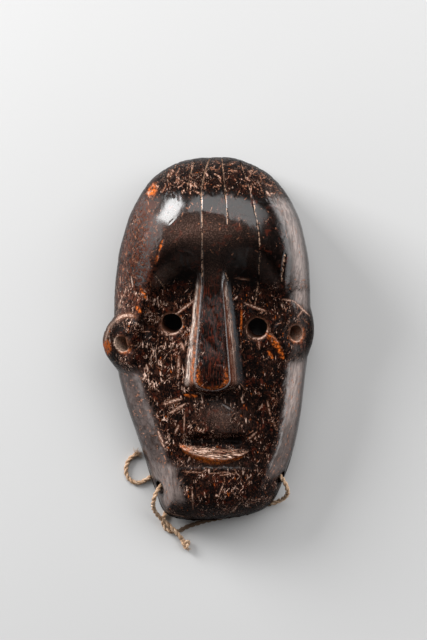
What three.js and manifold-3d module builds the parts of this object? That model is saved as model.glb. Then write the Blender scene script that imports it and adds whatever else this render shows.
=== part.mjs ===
// A small carved wooden face mask, lying on its back rim with the face up, in millimetres.
// +X is the viewer's right, +Y runs to the crown and +Z out of the face. The origin is on the
// floor, under the middle of the carving's box.
import * as THREE from "three";
import { mergeVertices } from "three/addons/utils/BufferGeometryUtils.js";
import Module from "manifold-3d";

const { smoothstep, lerp, clamp, degToRad } = THREE.MathUtils;

// Back rim, seen from the front
const LENGTH = 140;
const WIDTH = 75.8;
const AXIS_X = 1.5; // the head's middle line: the left ear is the longer one, so it isn't at zero
const WIDEST_Y = 8.8;
const CROWN_POWER = 2.45;
const JAW_TAPER = 0.49;
const JAW_TAPER_POWER = 1.8;
const CHIN_CORNER_POWER = 42;
const CHIN_DRIFT = 2.7; // how far the jaw wanders to the right
const CROWN_DRIFT = 0.7;
const CHIN_SLANT = 0.08; // the chin's lower edge climbs to the right
const CHIN_LIFT = 5; // the rim's gap to the floor at the chin, where the cord passes under it
const LIFT_FROM_Y = -35;

// Heights of the front
const FOREHEAD_Z = 45;
const FACE_Z = 27.5;
const CHIN_Z = 20.5;

// Sides: how far in from the rim the front is reached, how bowed they end there, and how full
// they are at the shoulder
const SIDES = {
  crown: { round: 36, bow: 2, full: 5 },
  crownRight: { round: 22, bow: 1.6, full: 7 },
  cheek: { round: 9, bow: 1.3, full: 3.6 },
  chin: { round: 10, bow: 1.6, full: 1.8 },
};

// Brow
const BROW_Y = 29.5;
const BROW_FALL_LEFT = 19; // how much lower the brow is at the temples
const BROW_FALL_RIGHT = 11;
const BROW_HALF = 13.5; // half the length of the slope under the forehead, on the middle line
const BROW_HALF_SIDE = 10.5;

// Nose
const NOSE_TOP_Y = 21.5;
const NOSE_WIDE_Y = -15.3;
const NOSE_TIP_LENGTH = 4.8;
const NOSE_BRIDGE_HALF = 4.3;
const NOSE_TIP_HALF = 7.5;
const NOSE_BRIDGE_RISE = 3.5;
const NOSE_TIP_RISE = 10.5;

// Mouth and chin
const LIP_X = 0.7;
const LIP_HALF = 13.5;
const LIP_Y = -41.4;
const LIP_SAG = 4.4;
const LIP_RISE = 3.8;
const MUZZLE_RISE = 2.2;
const CHIN_STEP_Y = -49.5;

// Ears: middle, how far they stand out, and the slanting hole through each
const EARS = [
  { side: -1, x: -30.6, y: -1.8, half: 11, out: 6.1, hole: 5.8, lean: 41, z: 23 },
  { side: 1, x: 33, y: 2.3, half: 11, out: 2.6, hole: 6.2, lean: 36, z: 23 },
];

// Eyes and the two lacing holes in the jaw
const EYES = [
  { x: -14, y: 5.8 },
  { x: 18.6, y: 3.9 },
];
const EYE_BORE = 7.7;
const JAW_BORE = 5;
const JAW_BORE_LENGTH = 24;
const JAW_HOLES = [
  { x: -18.8, y: -57.3, z: 12, inX: 0.45, inY: 0.55, inZ: -0.7 },
  { x: 28.5, y: -53.6, z: 10, inX: -0.45, inY: 0.55, inZ: -0.7 },
];

// Hollow back
const RIM_THICK = 5.2;
const HOLLOW_FOREHEAD_Z = 36;
const HOLLOW_FACE_Z = 19;
const HOLLOW_CHIN_Z = 13;
const HOLLOW_SIDES = {
  crown: { round: 24.5, bow: 1.85, full: 1.75 },
  crownRight: { round: 24.5, bow: 1.85, full: 1.75 },
  cheek: { round: 11.7, bow: 1.85, full: 1.75 },
  chin: { round: 8, bow: 1.85, full: 1.75 },
};

// Cord
const CORD = 1.75;
const CORD_SIDES = 8;
const CORD_STEPS = 64;
const CORD_ROUTE = [
  [-28.0, -44.7, 0.9],
  [-30.2, -46.3, 0.9],
  [-31.5, -48.9, 0.9],
  [-31.6, -52.0, 0.9],
  [-29.9, -54.7, 0.9],
  [-27.0, -55.6, 0.9],
  [-23.6, -54.2, 0.9],
  [-16.6, -48.8, 0.9],
  [-8.0, -44.0, 0.9],
  [2.0, -41.4, 0.9],
  [11.0, -40.8, 0.9],
  [16.6, -41.6, 0.9],
  [20.4, -43.7, 1.0],
  [22.9, -46.5, 1.9],
  [24.3, -48.5, 3.5],
  [25.4, -49.8, 5.2],
  [26.6, -51.3, 7.1],
  [27.8, -52.8, 9.0],
  [28.6, -53.8, 10.1],
  [29.4, -55.1, 10.8],
  [30.1, -56.5, 10.8],
  [30.5, -57.9, 10.1],
  [30.6, -59.0, 8.9],
  [30.3, -60.0, 7.3],
  [29.6, -61.0, 5.5],
  [28.3, -62.0, 3.8],
  [26.2, -63.0, 2.3],
  [23.6, -63.8, 1.4],
  [21.4, -64.4, 1.05],
  [19.2, -64.7, 0.9],
  [15.0, -66.2, 0.9],
  [6.0, -68.8, 0.9],
  [-2.0, -70.6, 0.9],
  [-8.2, -72.6, 0.9],
  [-12.0, -74.4, 0.9],
  [-16.0, -73.6, 0.9],
  [-17.4, -69.8, 0.9],
  [-15.2, -65.4, 0.9],
  [-11.6, -60.4, 0.9],
  [-8.7, -56.3, 0.9],
  [-7.3, -53.8, 0.9],
  [-6.6, -51.5, 0.9],
  [-7.0, -49.4, 0.95],
  [-8.5, -48.0, 1.1],
  [-10.4, -47.9, 1.5],
  [-12.0, -49.1, 2.4],
  [-13.3, -50.6, 3.7],
  [-14.7, -52.2, 5.6],
  [-16.1, -54.0, 7.8],
  [-17.5, -55.7, 9.9],
  [-18.8, -57.3, 11.7],
  [-19.6, -58.5, 12.6],
  [-20.3, -59.9, 13.0],
  [-20.8, -61.4, 12.7],
  [-21.1, -62.7, 11.7],
  [-21.2, -63.8, 10.2],
  [-21.1, -64.9, 8.4],
  [-20.7, -66.1, 6.5],
  [-19.9, -67.4, 4.9],
  [-18.7, -68.8, 3.8],
  [-17.1, -70.3, 3.2],
  [-14.8, -72.2, 2.85],
  [-12.2, -74.8, 2.75],
  [-10.2, -77.2, 1.9],
];
const KNOT = { x: -8.6, y: -79.2, long: 4.4, wide: 3.6, high: 3.2 };

// Grid of the faceted surface
const FRONT_COLUMNS = 34;
const FRONT_ROWS = 52;
const SIDE_RINGS = 5;
const HOLLOW_RINGS = 3;
const HOLLOW_INNER_RINGS = 2;
const FRONT_EDGE_ANGLE = 35; // degrees round the side where its rings give way to the front's grid
const NOSE_LINES = { at: 0, half: 0.32, more: 0.9 }; // where the grid's lines are closer together
const MOUTH_LINES = { at: -0.52, half: 0.24, more: 1.1 };
const DRILL_SIDES = 20;
const EYE_BORE_LENGTH = 60;
const EAR_BORE_LENGTH = 24;

const WOOD = new THREE.MeshStandardMaterial({ color: 0x2e1a14, roughness: 0.38, metalness: 0 });
const TWINE = new THREE.MeshStandardMaterial({ color: 0xb89468, roughness: 0.9, metalness: 0 });

const wasm = await Module();
wasm.setup();

const bell = (distance, half) => Math.exp(-((distance / half) ** 2));

// The rim's outline

function halfWidth(y) {
  const up = (y - WIDEST_Y) / (LENGTH / 2 - WIDEST_Y);
  if (up >= 1) return 0;
  if (up >= 0) return (WIDTH / 2) * (1 - up ** CROWN_POWER) ** (1 / CROWN_POWER);
  const down = (WIDEST_Y - y) / (LENGTH / 2 + WIDEST_Y);
  if (down >= 1) return 0;
  const taper = 1 - JAW_TAPER * down ** JAW_TAPER_POWER;
  return (WIDTH / 2) * taper * Math.sqrt(1 - down ** CHIN_CORNER_POWER);
}

function insideRim(x, y) {
  const jawDrift = CHIN_DRIFT * smoothstep(-y, 10, 50) * (1 - 0.3 * smoothstep(-y, 58, 70));
  const crownDrift = CROWN_DRIFT * bell(y - 48, 25);
  const across = x - AXIS_X - jawDrift - crownDrift;
  const level = y - CHIN_SLANT * (across + 6) * smoothstep(-y, 25, 66);
  return Math.abs(across) < halfWidth(level);
}

function rimRadius(angle) {
  let near = 0;
  let far = LENGTH;
  for (let i = 0; i < 32; i++) {
    const middle = (near + far) / 2;
    if (insideRim(AXIS_X + Math.cos(angle) * middle, Math.sin(angle) * middle)) near = middle;
    else far = middle;
  }
  return near;
}

// The rim's point in one direction from the middle, with what the side above it needs
function rimAt(angle) {
  const step = 0.01;
  const radius = rimRadius(angle);
  const turn = (rimRadius(angle + step) - rimRadius(angle - step)) / (2 * step * radius);
  const y = Math.sin(angle) * radius;
  const fall = clamp((LIFT_FROM_Y - y) / (LENGTH / 2 + LIFT_FROM_Y), 0, 1);
  const right = smoothstep(Math.cos(angle) * radius, 0, 24);
  const side = (sides, name) => {
    const crown = lerp(sides.crown[name], sides.crownRight[name], right);
    const high = lerp(sides.cheek[name], crown, smoothstep(y, -5, 62));
    return lerp(high, sides.chin[name], smoothstep(-y, 38, 60));
  };
  const sideOf = (sides) => ({
    round: side(sides, "round"),
    bow: side(sides, "bow"),
    full: side(sides, "full"),
  });
  return {
    angle,
    radius,
    reach: radius / Math.hypot(1, turn),
    lift: CHIN_LIFT * fall ** 1.2,
    front: sideOf(SIDES),
    hollow: sideOf(HOLLOW_SIDES),
  };
}

// Heights of the carved front, seen from the front

function nose(across, y) {
  const along = clamp((NOSE_TOP_Y - y) / (NOSE_TOP_Y - NOSE_WIDE_Y), 0, 1);
  const half = lerp(NOSE_BRIDGE_HALF, NOSE_TIP_HALF, along);
  const past = Math.max(0, NOSE_WIDE_Y - y) / NOSE_TIP_LENGTH;
  const out = Math.hypot(across / half, past);
  const rise = lerp(NOSE_BRIDGE_RISE, NOSE_TIP_RISE, along ** 1.1) * (1 - smoothstep(y, 20, 32));
  return rise * (1 - 0.3 * smoothstep(out, 0.66, 1.02) - 0.7 * smoothstep(out, 0.9, 1.42));
}

function mouth(across, y) {
  const muzzle = smoothstep(-y, 20, 31) * (1 - smoothstep(-y, 35.6, 37.8)) * bell(across - 2, 12);
  const slit = bell(y + 38.6, 1.7) * (1 - smoothstep(Math.abs(across - 1.7), 8, 11.5));
  const along = clamp((across - LIP_X) / LIP_HALF, -1, 1);
  const open = 1 - along ** 2;
  const top = LIP_Y - 1.05 * along - 0.3 * open;
  const down = (top - y) / (0.4 + LIP_SAG * open ** 0.8);
  const lip = smoothstep(down, -0.25, 0.8) * (1 - smoothstep(down, 0.92, 1.25)) * open ** 0.45;
  const edge = 1 - smoothstep(Math.abs(across - LIP_X), LIP_HALF - 1, LIP_HALF);
  const chin = smoothstep(CHIN_STEP_Y - y, -0.9, 0.9) * (1 - smoothstep(Math.abs(across), 8, 24));
  return MUZZLE_RISE * muzzle - 1.8 * slit + LIP_RISE * lip * edge + 0.7 * chin;
}

function earsRelief(x, y) {
  let height = 0;
  for (const ear of EARS) {
    const out = Math.hypot((x - ear.x) / 7.5, (y - ear.y) / 9.5);
    height += 2 * (1 - smoothstep(out, 0.7, 1.4)) - 2.2 * (1 - smoothstep(out, 0.2, 0.85));
  }
  return height;
}

function faceHeight(x, y) {
  const across = x - AXIS_X;
  const dome = FOREHEAD_Z - 3.5 * (across / 26) ** 2 - 5 * ((Math.max(y, 18) - 46) / 22) ** 2;
  const flat = lerp(FACE_Z, CHIN_Z, smoothstep(-y, 5, 62)) - 1.5 * (across / 28) ** 2;
  const side = Math.min(1, Math.abs(across) / 13);
  const browFall = across < 0 ? BROW_FALL_LEFT : BROW_FALL_RIGHT;
  const browY = BROW_Y - browFall * Math.min(1.5, (across / 25) ** 4);
  const half = lerp(BROW_HALF, BROW_HALF_SIDE, side ** 1.5);
  const under = smoothstep(y, browY - half, browY + half);
  return lerp(flat + nose(across, y) + mouth(across, y) + earsRelief(x, y), dome, under);
}

// The ears are pulled out of the side bands
function earPull(x, y, z) {
  let pull = 0;
  for (const ear of EARS) {
    const up = 1 - ((y - ear.y) / ear.half) ** 2;
    const level = 1 - ((z - 20) / 15) ** 2;
    const edge = smoothstep(ear.side * (x - AXIS_X), 20, 34);
    if (up > 0 && level > 0) pull += ear.side * ear.out * up ** 1.1 * level * edge;
  }
  return pull;
}

// Share of the full height that a side has reached, by how far in from its foot it is
function sideShape(inwards, side) {
  if (inwards >= side.round) return 1;
  return (1 - (1 - Math.max(0, inwards) / side.round) ** side.bow) ** (1 / side.full);
}

// How far in from its foot a side is at a turn round it, from 0 at the foot to a right angle
function sideInwards(turn, side) {
  return (1 - Math.cos(turn) ** (2 / side.bow)) * side.round;
}

function frontPoint(rim, share) {
  const x = AXIS_X + Math.cos(rim.angle) * rim.radius * share;
  const y = Math.sin(rim.angle) * rim.radius * share;
  const z = lerp(rim.lift, faceHeight(x, y), sideShape((1 - share) * rim.reach, rim.front));
  return [x + earPull(x, y, z), y, z];
}

function hollowPoint(rim, share) {
  const x = AXIS_X + Math.cos(rim.angle) * rim.radius * share;
  const y = Math.sin(rim.angle) * rim.radius * share;
  const inwards = (1 - share) * rim.reach - RIM_THICK;
  const face = lerp(HOLLOW_FACE_Z, HOLLOW_CHIN_Z, smoothstep(-y, 10, 60));
  const top = lerp(face, HOLLOW_FOREHEAD_Z, smoothstep(y, 12, 42)) - 3 * ((x - AXIS_X) / 28) ** 2;
  return [x, y, lerp(rim.lift, top, sideShape(inwards, rim.hollow))];
}

// Where a ring lies on the way to the rim, by how far round the side it is
const frontShare = (rim, turn) => 1 - sideInwards(turn, rim.front) / rim.reach;
const hollowShare = (rim, turn) => 1 - (RIM_THICK + sideInwards(turn, rim.hollow)) / rim.reach;

// Evenly spread lines from -1 to 1, closer together where the carving is fine
function gridLines(count, close) {
  const samples = 400;
  const sums = [0];
  for (let i = 0; i < samples; i++) {
    const at = -1 + (2 * (i + 0.5)) / samples;
    sums.push(sums[i] + 1 + close.more * bell(at - close.at, close.half));
  }
  const lines = [];
  let i = 0;
  for (let line = 0; line <= count; line++) {
    const wanted = (sums[samples] * line) / count;
    while (i < samples - 1 && sums[i + 1] < wanted) i++;
    lines.push(-1 + (2 * (i + (wanted - sums[i]) / (sums[i + 1] - sums[i]))) / samples);
  }
  return lines;
}

// A point of the square grid as a direction and a share of the way out
function gridRay(a, b) {
  const across = a * Math.sqrt(1 - (b * b) / 2);
  const along = b * Math.sqrt(1 - (a * a) / 2);
  return {
    angle: Math.atan2((along * LENGTH) / 2, (across * WIDTH) / 2),
    out: Math.hypot(across, along),
  };
}

function carvedShell() {
  const columns = gridLines(FRONT_COLUMNS, NOSE_LINES);
  const rows = gridLines(FRONT_ROWS, MOUTH_LINES);
  const points = [];
  const faces = [];
  const apart = (a, b) =>
    Math.hypot(...[0, 1, 2].map((axis) => points[3 * a + axis] - points[3 * b + axis]));
  const quad = (a, b, c, d) => {
    if (apart(a, c) <= apart(b, d)) faces.push(a, b, c, a, c, d);
    else faces.push(a, b, d, b, c, d);
  };
  const addPoint = (point) => points.push(...point) / 3 - 1;
  const edgeTurn = degToRad(FRONT_EDGE_ANGLE);

  const grid = rows.map((b) =>
    columns.map((a) => {
      const ray = gridRay(a, b);
      const rim = rimAt(ray.angle);
      return addPoint(frontPoint(rim, ray.out * frontShare(rim, edgeTurn)));
    }),
  );
  for (let j = 0; j < FRONT_ROWS; j++) {
    for (let i = 0; i < FRONT_COLUMNS; i++) {
      quad(grid[j][i], grid[j][i + 1], grid[j + 1][i + 1], grid[j + 1][i]);
    }
  }

  // The grid's border, counterclockwise, is the first of the rings that go down the side
  const border = [];
  for (let i = 0; i < FRONT_COLUMNS; i++) border.push([0, i]);
  for (let j = 0; j < FRONT_ROWS; j++) border.push([j, FRONT_COLUMNS]);
  for (let i = FRONT_COLUMNS; i > 0; i--) border.push([FRONT_ROWS, i]);
  for (let j = FRONT_ROWS; j > 0; j--) border.push([j, 0]);
  const rims = border.map(([j, i]) => rimAt(gridRay(columns[i], rows[j]).angle));
  const joinRings = (outer, inner) =>
    outer.forEach((_, i) => {
      const next = (i + 1) % outer.length;
      quad(outer[i], outer[next], inner[next], inner[i]);
    });

  let ring = border.map(([j, i]) => grid[j][i]);
  for (let k = SIDE_RINGS - 1; k >= 0; k--) {
    const turn = edgeTurn * (k / SIDE_RINGS) ** 2;
    const lower = rims.map((rim) => addPoint(frontPoint(rim, frontShare(rim, turn))));
    joinRings(lower, ring);
    ring = lower;
  }
  const hollowRing = (shareOf) => {
    const inner = rims.map((rim) => addPoint(hollowPoint(rim, shareOf(rim))));
    joinRings(inner, ring);
    ring = inner;
  };
  for (let k = 0; k <= HOLLOW_RINGS; k++) {
    hollowRing((rim) => hollowShare(rim, (Math.PI / 2) * (k / HOLLOW_RINGS)));
  }
  for (let k = HOLLOW_INNER_RINGS; k > 0; k--) {
    hollowRing((rim) => (hollowShare(rim, Math.PI / 2) * k) / (HOLLOW_INNER_RINGS + 1));
  }
  const middle = addPoint(hollowPoint(rims[0], 0));
  ring.forEach((at, i) => faces.push(at, middle, ring[(i + 1) % ring.length]));

  const geometry = new THREE.BufferGeometry();
  geometry.setAttribute("position", new THREE.Float32BufferAttribute(points, 3));
  geometry.setIndex(faces);
  return geometry;
}

// Joins and cuts

function solidOf(geometry) {
  geometry.deleteAttribute("normal");
  geometry.deleteAttribute("uv");
  const merged = mergeVertices(geometry, 1e-4);
  return new wasm.Manifold(
    new wasm.Mesh({
      numProp: 3,
      vertProperties: merged.attributes.position.array,
      triVerts: new Uint32Array(merged.index.array),
    }),
  );
}

function geometryOf(solid) {
  const cut = solid.getMesh();
  const geometry = new THREE.BufferGeometry();
  geometry.setAttribute("position", new THREE.BufferAttribute(cut.vertProperties, cut.numProp));
  geometry.setIndex(new THREE.BufferAttribute(cut.triVerts, 1));
  const faceted = geometry.toNonIndexed();
  faceted.computeVertexNormals();
  return faceted;
}

function bore(diameter, length, centre, direction) {
  const drill = new THREE.CylinderGeometry(diameter / 2, diameter / 2, length, DRILL_SIDES);
  const turn = new THREE.Quaternion().setFromUnitVectors(
    new THREE.Vector3(0, 1, 0),
    direction.clone().normalize(),
  );
  drill.applyQuaternion(turn);
  drill.translate(centre.x, centre.y, centre.z);
  return solidOf(drill);
}

function mask() {
  let solid = solidOf(carvedShell());
  const up = new THREE.Vector3(0, 0, 1);
  for (const eye of EYES) {
    const centre = new THREE.Vector3(eye.x, eye.y, FACE_Z);
    solid = solid.subtract(bore(EYE_BORE, EYE_BORE_LENGTH, centre, up));
  }
  for (const ear of EARS) {
    const lean = degToRad(ear.lean);
    const direction = new THREE.Vector3(ear.side * Math.sin(lean), 0, Math.cos(lean));
    const centre = new THREE.Vector3(ear.x, ear.y, ear.z);
    solid = solid.subtract(bore(ear.hole, EAR_BORE_LENGTH, centre, direction));
  }
  for (const hole of JAW_HOLES) {
    const direction = new THREE.Vector3(hole.inX, hole.inY, hole.inZ);
    const centre = new THREE.Vector3(hole.x, hole.y, hole.z);
    solid = solid.subtract(bore(JAW_BORE, JAW_BORE_LENGTH, centre, direction));
  }
  return new THREE.Mesh(geometryOf(solid), WOOD);
}

function lacingCord() {
  const stops = CORD_ROUTE.map((at) => new THREE.Vector3(...at));
  const route = new THREE.CatmullRomCurve3(stops, false, "centripetal");
  const section = new THREE.Shape();
  for (let i = 0; i < CORD_SIDES; i++) {
    const angle = ((i + 0.5) / CORD_SIDES) * 2 * Math.PI;
    const x = (CORD / 2) * Math.cos(angle);
    const y = (CORD / 2) * Math.sin(angle);
    if (i === 0) section.moveTo(x, y);
    else section.lineTo(x, y);
  }
  section.closePath();
  const tube = new THREE.ExtrudeGeometry(section, { steps: CORD_STEPS, extrudePath: route });
  return new THREE.Mesh(tube, TWINE);
}

function cordKnot() {
  const lump = new THREE.SphereGeometry(0.5, 12, 8);
  lump.scale(KNOT.wide, KNOT.long, KNOT.high);
  lump.translate(KNOT.x, KNOT.y, KNOT.high / 2);
  return new THREE.Mesh(lump, TWINE);
}

const group = new THREE.Group();
for (const [name, make] of [
  ["mask", mask],
  ["lacing_cord", lacingCord],
  ["cord_knot", cordKnot],
]) {
  const piece = make();
  piece.name = name;
  group.add(piece);
}
export default group;
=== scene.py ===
import math

import bpy
import numpy as np
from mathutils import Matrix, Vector


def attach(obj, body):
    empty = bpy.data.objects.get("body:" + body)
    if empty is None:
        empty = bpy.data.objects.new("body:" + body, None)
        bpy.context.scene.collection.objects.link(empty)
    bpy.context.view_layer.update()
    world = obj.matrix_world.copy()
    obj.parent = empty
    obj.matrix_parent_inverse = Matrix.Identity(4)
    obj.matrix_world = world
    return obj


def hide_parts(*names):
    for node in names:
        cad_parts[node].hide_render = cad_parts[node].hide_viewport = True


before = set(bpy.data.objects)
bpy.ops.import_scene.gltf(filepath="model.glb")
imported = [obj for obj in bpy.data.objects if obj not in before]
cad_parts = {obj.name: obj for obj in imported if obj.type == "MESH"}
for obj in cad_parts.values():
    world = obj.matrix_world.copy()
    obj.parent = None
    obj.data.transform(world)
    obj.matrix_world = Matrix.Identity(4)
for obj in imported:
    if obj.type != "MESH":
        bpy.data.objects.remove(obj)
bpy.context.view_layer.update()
MM = 0.001


def placed(name, data):
    """A new object in the scene."""
    made = bpy.data.objects.new(name, data)
    bpy.context.scene.collection.objects.link(made)
    return made


# Camera: straight above the mask, with a long lens

FRAME_HEIGHT = 246.1  # how much of the row the picture's height spans at CAMERA_LEVEL
CAMERA_CENTRE = (2.06, 7.3)
CAMERA_LEVEL = 12
CAMERA_HEIGHT = 2400
SENSOR = 36


def make_camera():
    lens = bpy.data.cameras.new("camera")
    lens.sensor_fit = "VERTICAL"
    lens.sensor_height = SENSOR
    lens.lens = SENSOR * (CAMERA_HEIGHT - CAMERA_LEVEL) / FRAME_HEIGHT
    stand = placed("camera", lens)
    stand.location = Vector((*CAMERA_CENTRE, CAMERA_HEIGHT)) * MM
    bpy.context.scene.camera = stand


make_camera()


# Small tools for shapes


def smooth(value, low, high):
    share = np.clip((value - low) / (high - low), 0, 1)
    return share * share * (3 - 2 * share)


def mix(a, b, share):
    return a + (b - a) * share


def bell(distance, half):
    return np.exp(-((distance / half) ** 2))


def between(value, start, full, fading, end):
    """Rises from 0 to 1 between start and full, and falls again between fading and end."""
    return smooth(value, start, full) * (1 - smooth(value, fading, end))


def mesh_piece(name, points, faces, body="root"):
    mesh = bpy.data.meshes.new(name)
    mesh.from_pydata((np.asarray(points) * MM).tolist(), [], [list(face) for face in faces])
    mesh.update()
    piece = placed(name, mesh)
    mesh.shade_smooth()
    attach(piece, body)
    return piece


def point_mask(piece, name, values):
    layer = piece.data.attributes.new(name, "FLOAT", "POINT")
    layer.data.foreach_set("value", np.asarray(values, np.float32))


# Shader maths written as arithmetic


class Value:
    """A socket whose arithmetic adds Math nodes to its material."""

    def __init__(self, finish, socket):
        self.finish = finish
        self.socket = socket

    def maths(self, operation, *operands):
        return self.finish.node("Math", {"operation": operation}, dict(enumerate(operands)))

    def __add__(self, other):
        return self.maths("ADD", self, other)

    def __radd__(self, other):
        return self.maths("ADD", other, self)

    def __sub__(self, other):
        return self.maths("SUBTRACT", self, other)

    def __rsub__(self, other):
        return self.maths("SUBTRACT", other, self)

    def __mul__(self, other):
        return self.maths("MULTIPLY", self, other)

    def __rmul__(self, other):
        return self.maths("MULTIPLY", other, self)


class Finish:
    """A procedural material on a base colour. Places are in millimetres."""

    def __init__(self, name, base):
        self.base = base
        self.material = bpy.data.materials.new(name)
        self.material.use_nodes = True
        self.tree = self.material.node_tree
        self.surface = self.tree.nodes["Principled BSDF"]
        place = self.node("TexCoord", {}, {}, "Object")
        self.place = self.node("VectorMath", {"operation": "SCALE"}, {0: place, "Scale": 1 / MM})

    def node(self, kind, settings, sockets, output=0):
        made = self.tree.nodes.new("ShaderNode" + kind)
        for name, value in settings.items():
            setattr(made, name, value)
        for name, value in sockets.items():
            if isinstance(value, Value):
                self.tree.links.new(value.socket, made.inputs[name])
            else:
                made.inputs[name].default_value = value
        return Value(self, made.outputs[output])

    def mask(self, name):
        return self.node("Attribute", {"attribute_name": name}, {}, "Fac")

    def along(self, axis):
        return self.node("SeparateXYZ", {}, {"Vector": self.place}, axis)

    def step(self, value, low, high):
        settings = {"interpolation_type": "SMOOTHSTEP"}
        return self.node("MapRange", settings, {"Value": value, "From Min": low, "From Max": high})

    def stretched(self, turn, size, shift):
        """The place turned about +Z by degrees and divided by a size along each axis."""
        settings = {"vector_type": "TEXTURE"}
        sockets = {
            "Vector": self.place,
            "Location": shift,
            "Rotation": (0, 0, math.radians(turn)),
            "Scale": size,
        }
        return self.node("Mapping", settings, sockets)

    def noise(self, vector, size, detail, roughness, distortion=0):
        sockets = {
            "Vector": vector,
            "Scale": 1 / size,
            "Detail": detail,
            "Roughness": roughness,
            "Distortion": distortion,
        }
        return self.node("TexNoise", {}, sockets, "Fac")

    def grain(self, turn, size, shift=(0, 0, 0), detail=3, roughness=0.65, distortion=0):
        """Noise drawn out to a size along each axis."""
        return self.noise(self.stretched(turn, size, shift), 1, detail, roughness, distortion)

    def lay(self, colour, share):
        """Lays a colour over the base colour by share."""
        sockets = {"Factor": share, 6: self.colour(self.base), 7: self.colour(colour)}
        self.base = self.node("Mix", {"data_type": "RGBA"}, sockets, 2)

    def colour(self, value):
        return value if isinstance(value, Value) else (*value, 1)

    def bump(self, height, strength, distance, below=None):
        sockets = {"Height": height, "Strength": strength, "Distance": distance}
        if below:
            sockets["Normal"] = below
        return self.node("Bump", {}, sockets)

    def wear(self, piece):
        piece.data.materials.clear()
        piece.data.materials.append(self.material)

    def finish_with(self, **sockets):
        """Sets the shader's sockets, and its base colour to what has been laid."""
        for name, value in {"Base_Color": self.colour(self.base), **sockets}.items():
            socket = self.surface.inputs[name.replace("_", " ")]
            if isinstance(value, Value):
                self.tree.links.new(value.socket, socket)
            else:
                socket.default_value = value


# The carved form, as in the part's source

LENGTH = 140
WIDTH = 75.8
AXIS_X = 1.5
WIDEST_Y = 8.8
CROWN_POWER = 2.45
JAW_TAPER = 0.49
JAW_TAPER_POWER = 1.8
CHIN_CORNER_POWER = 42
CHIN_DRIFT = 2.7
CROWN_DRIFT = 0.7
CHIN_SLANT = 0.08
CHIN_LIFT = 5
LIFT_FROM_Y = -35
FOREHEAD_Z = 45
FACE_Z = 27.5
CHIN_Z = 20.5
SIDES = {  # round, bow and full at the crown, the cheeks and the chin
    "crown": (36, 2, 5),
    "crown_right": (22, 1.6, 7),
    "cheek": (9, 1.3, 3.6),
    "chin": (10, 1.6, 1.8),
}
BROW_Y = 29.5
BROW_FALL_LEFT = 19
BROW_FALL_RIGHT = 11
BROW_HALF = 13.5
BROW_HALF_SIDE = 10.5
NOSE_TOP_Y = 21.5
NOSE_WIDE_Y = -15.3
NOSE_TIP_LENGTH = 4.8
NOSE_BRIDGE_HALF = 4.3
NOSE_TIP_HALF = 7.5
NOSE_BRIDGE_RISE = 3.5
NOSE_TIP_RISE = 10.5
NOSE_FRONT_LENGTH = 38  # the flat front's, which the finish darkens
LIP_X = 0.7
LIP_HALF = 13.5
LIP_Y = -41.4
LIP_SAG = 4.4
LIP_RISE = 3.8
MUZZLE_RISE = 2.2
CHIN_STEP_Y = -49.5
EARS = (
    {"side": -1, "x": -30.6, "y": -1.8, "half": 11, "out": 6.1, "hole": 5.8, "lean": 41, "z": 23},
    {"side": 1, "x": 33, "y": 2.3, "half": 11, "out": 2.6, "hole": 6.2, "lean": 36, "z": 23},
)
EAR_BORES = [ear["hole"] for ear in EARS]
EYES = ((-14, 5.8), (18.6, 3.9))
EYE_BORE = 7.7
EYE_LEAN = (-0.12, -0.17, 1)  # drilled by hand, not quite upright
JAW_BORE = 5
EYE_DRILL = 60  # lengths, with room to spare at both ends
SIDE_DRILL = 24
JAW_HOLES = (
    ((-18.8, -57.3, 12), (0.45, 0.55, -0.7)),
    ((28.5, -53.6, 10), (-0.45, 0.55, -0.7)),
)
RIM_THICK = 5.2
HOLLOW_FOREHEAD_Z = 36
HOLLOW_FACE_Z = 19
HOLLOW_CHIN_Z = 13
HOLLOW_SIDES = {
    "crown": (24.5, 1.85, 1.75),
    "crown_right": (24.5, 1.85, 1.75),
    "cheek": (11.7, 1.85, 1.75),
    "chin": (8, 1.85, 1.75),
}


def half_width(y):
    up = np.clip((y - WIDEST_Y) / (LENGTH / 2 - WIDEST_Y), 0, 1)
    crown = (1 - up**CROWN_POWER) ** (1 / CROWN_POWER)
    down = np.clip((WIDEST_Y - y) / (LENGTH / 2 + WIDEST_Y), 0, 1)
    taper = 1 - JAW_TAPER * down**JAW_TAPER_POWER
    jaw = taper * np.sqrt(1 - down**CHIN_CORNER_POWER)
    return WIDTH / 2 * np.where(y > WIDEST_Y, crown, jaw)


def inside_rim(x, y):
    jaw_drift = CHIN_DRIFT * smooth(-y, 10, 50) * (1 - 0.3 * smooth(-y, 58, 70))
    across = x - AXIS_X - jaw_drift - CROWN_DRIFT * bell(y - 48, 25)
    level = y - CHIN_SLANT * (across + 6) * smooth(-y, 25, 66)
    return np.abs(across) < half_width(level)


def rim_radius(angle):
    near = np.zeros_like(angle)
    far = np.full_like(angle, LENGTH)
    for _ in range(32):
        middle = (near + far) / 2
        inside = inside_rim(AXIS_X + np.cos(angle) * middle, np.sin(angle) * middle)
        near = np.where(inside, middle, near)
        far = np.where(inside, far, middle)
    return near


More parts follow.
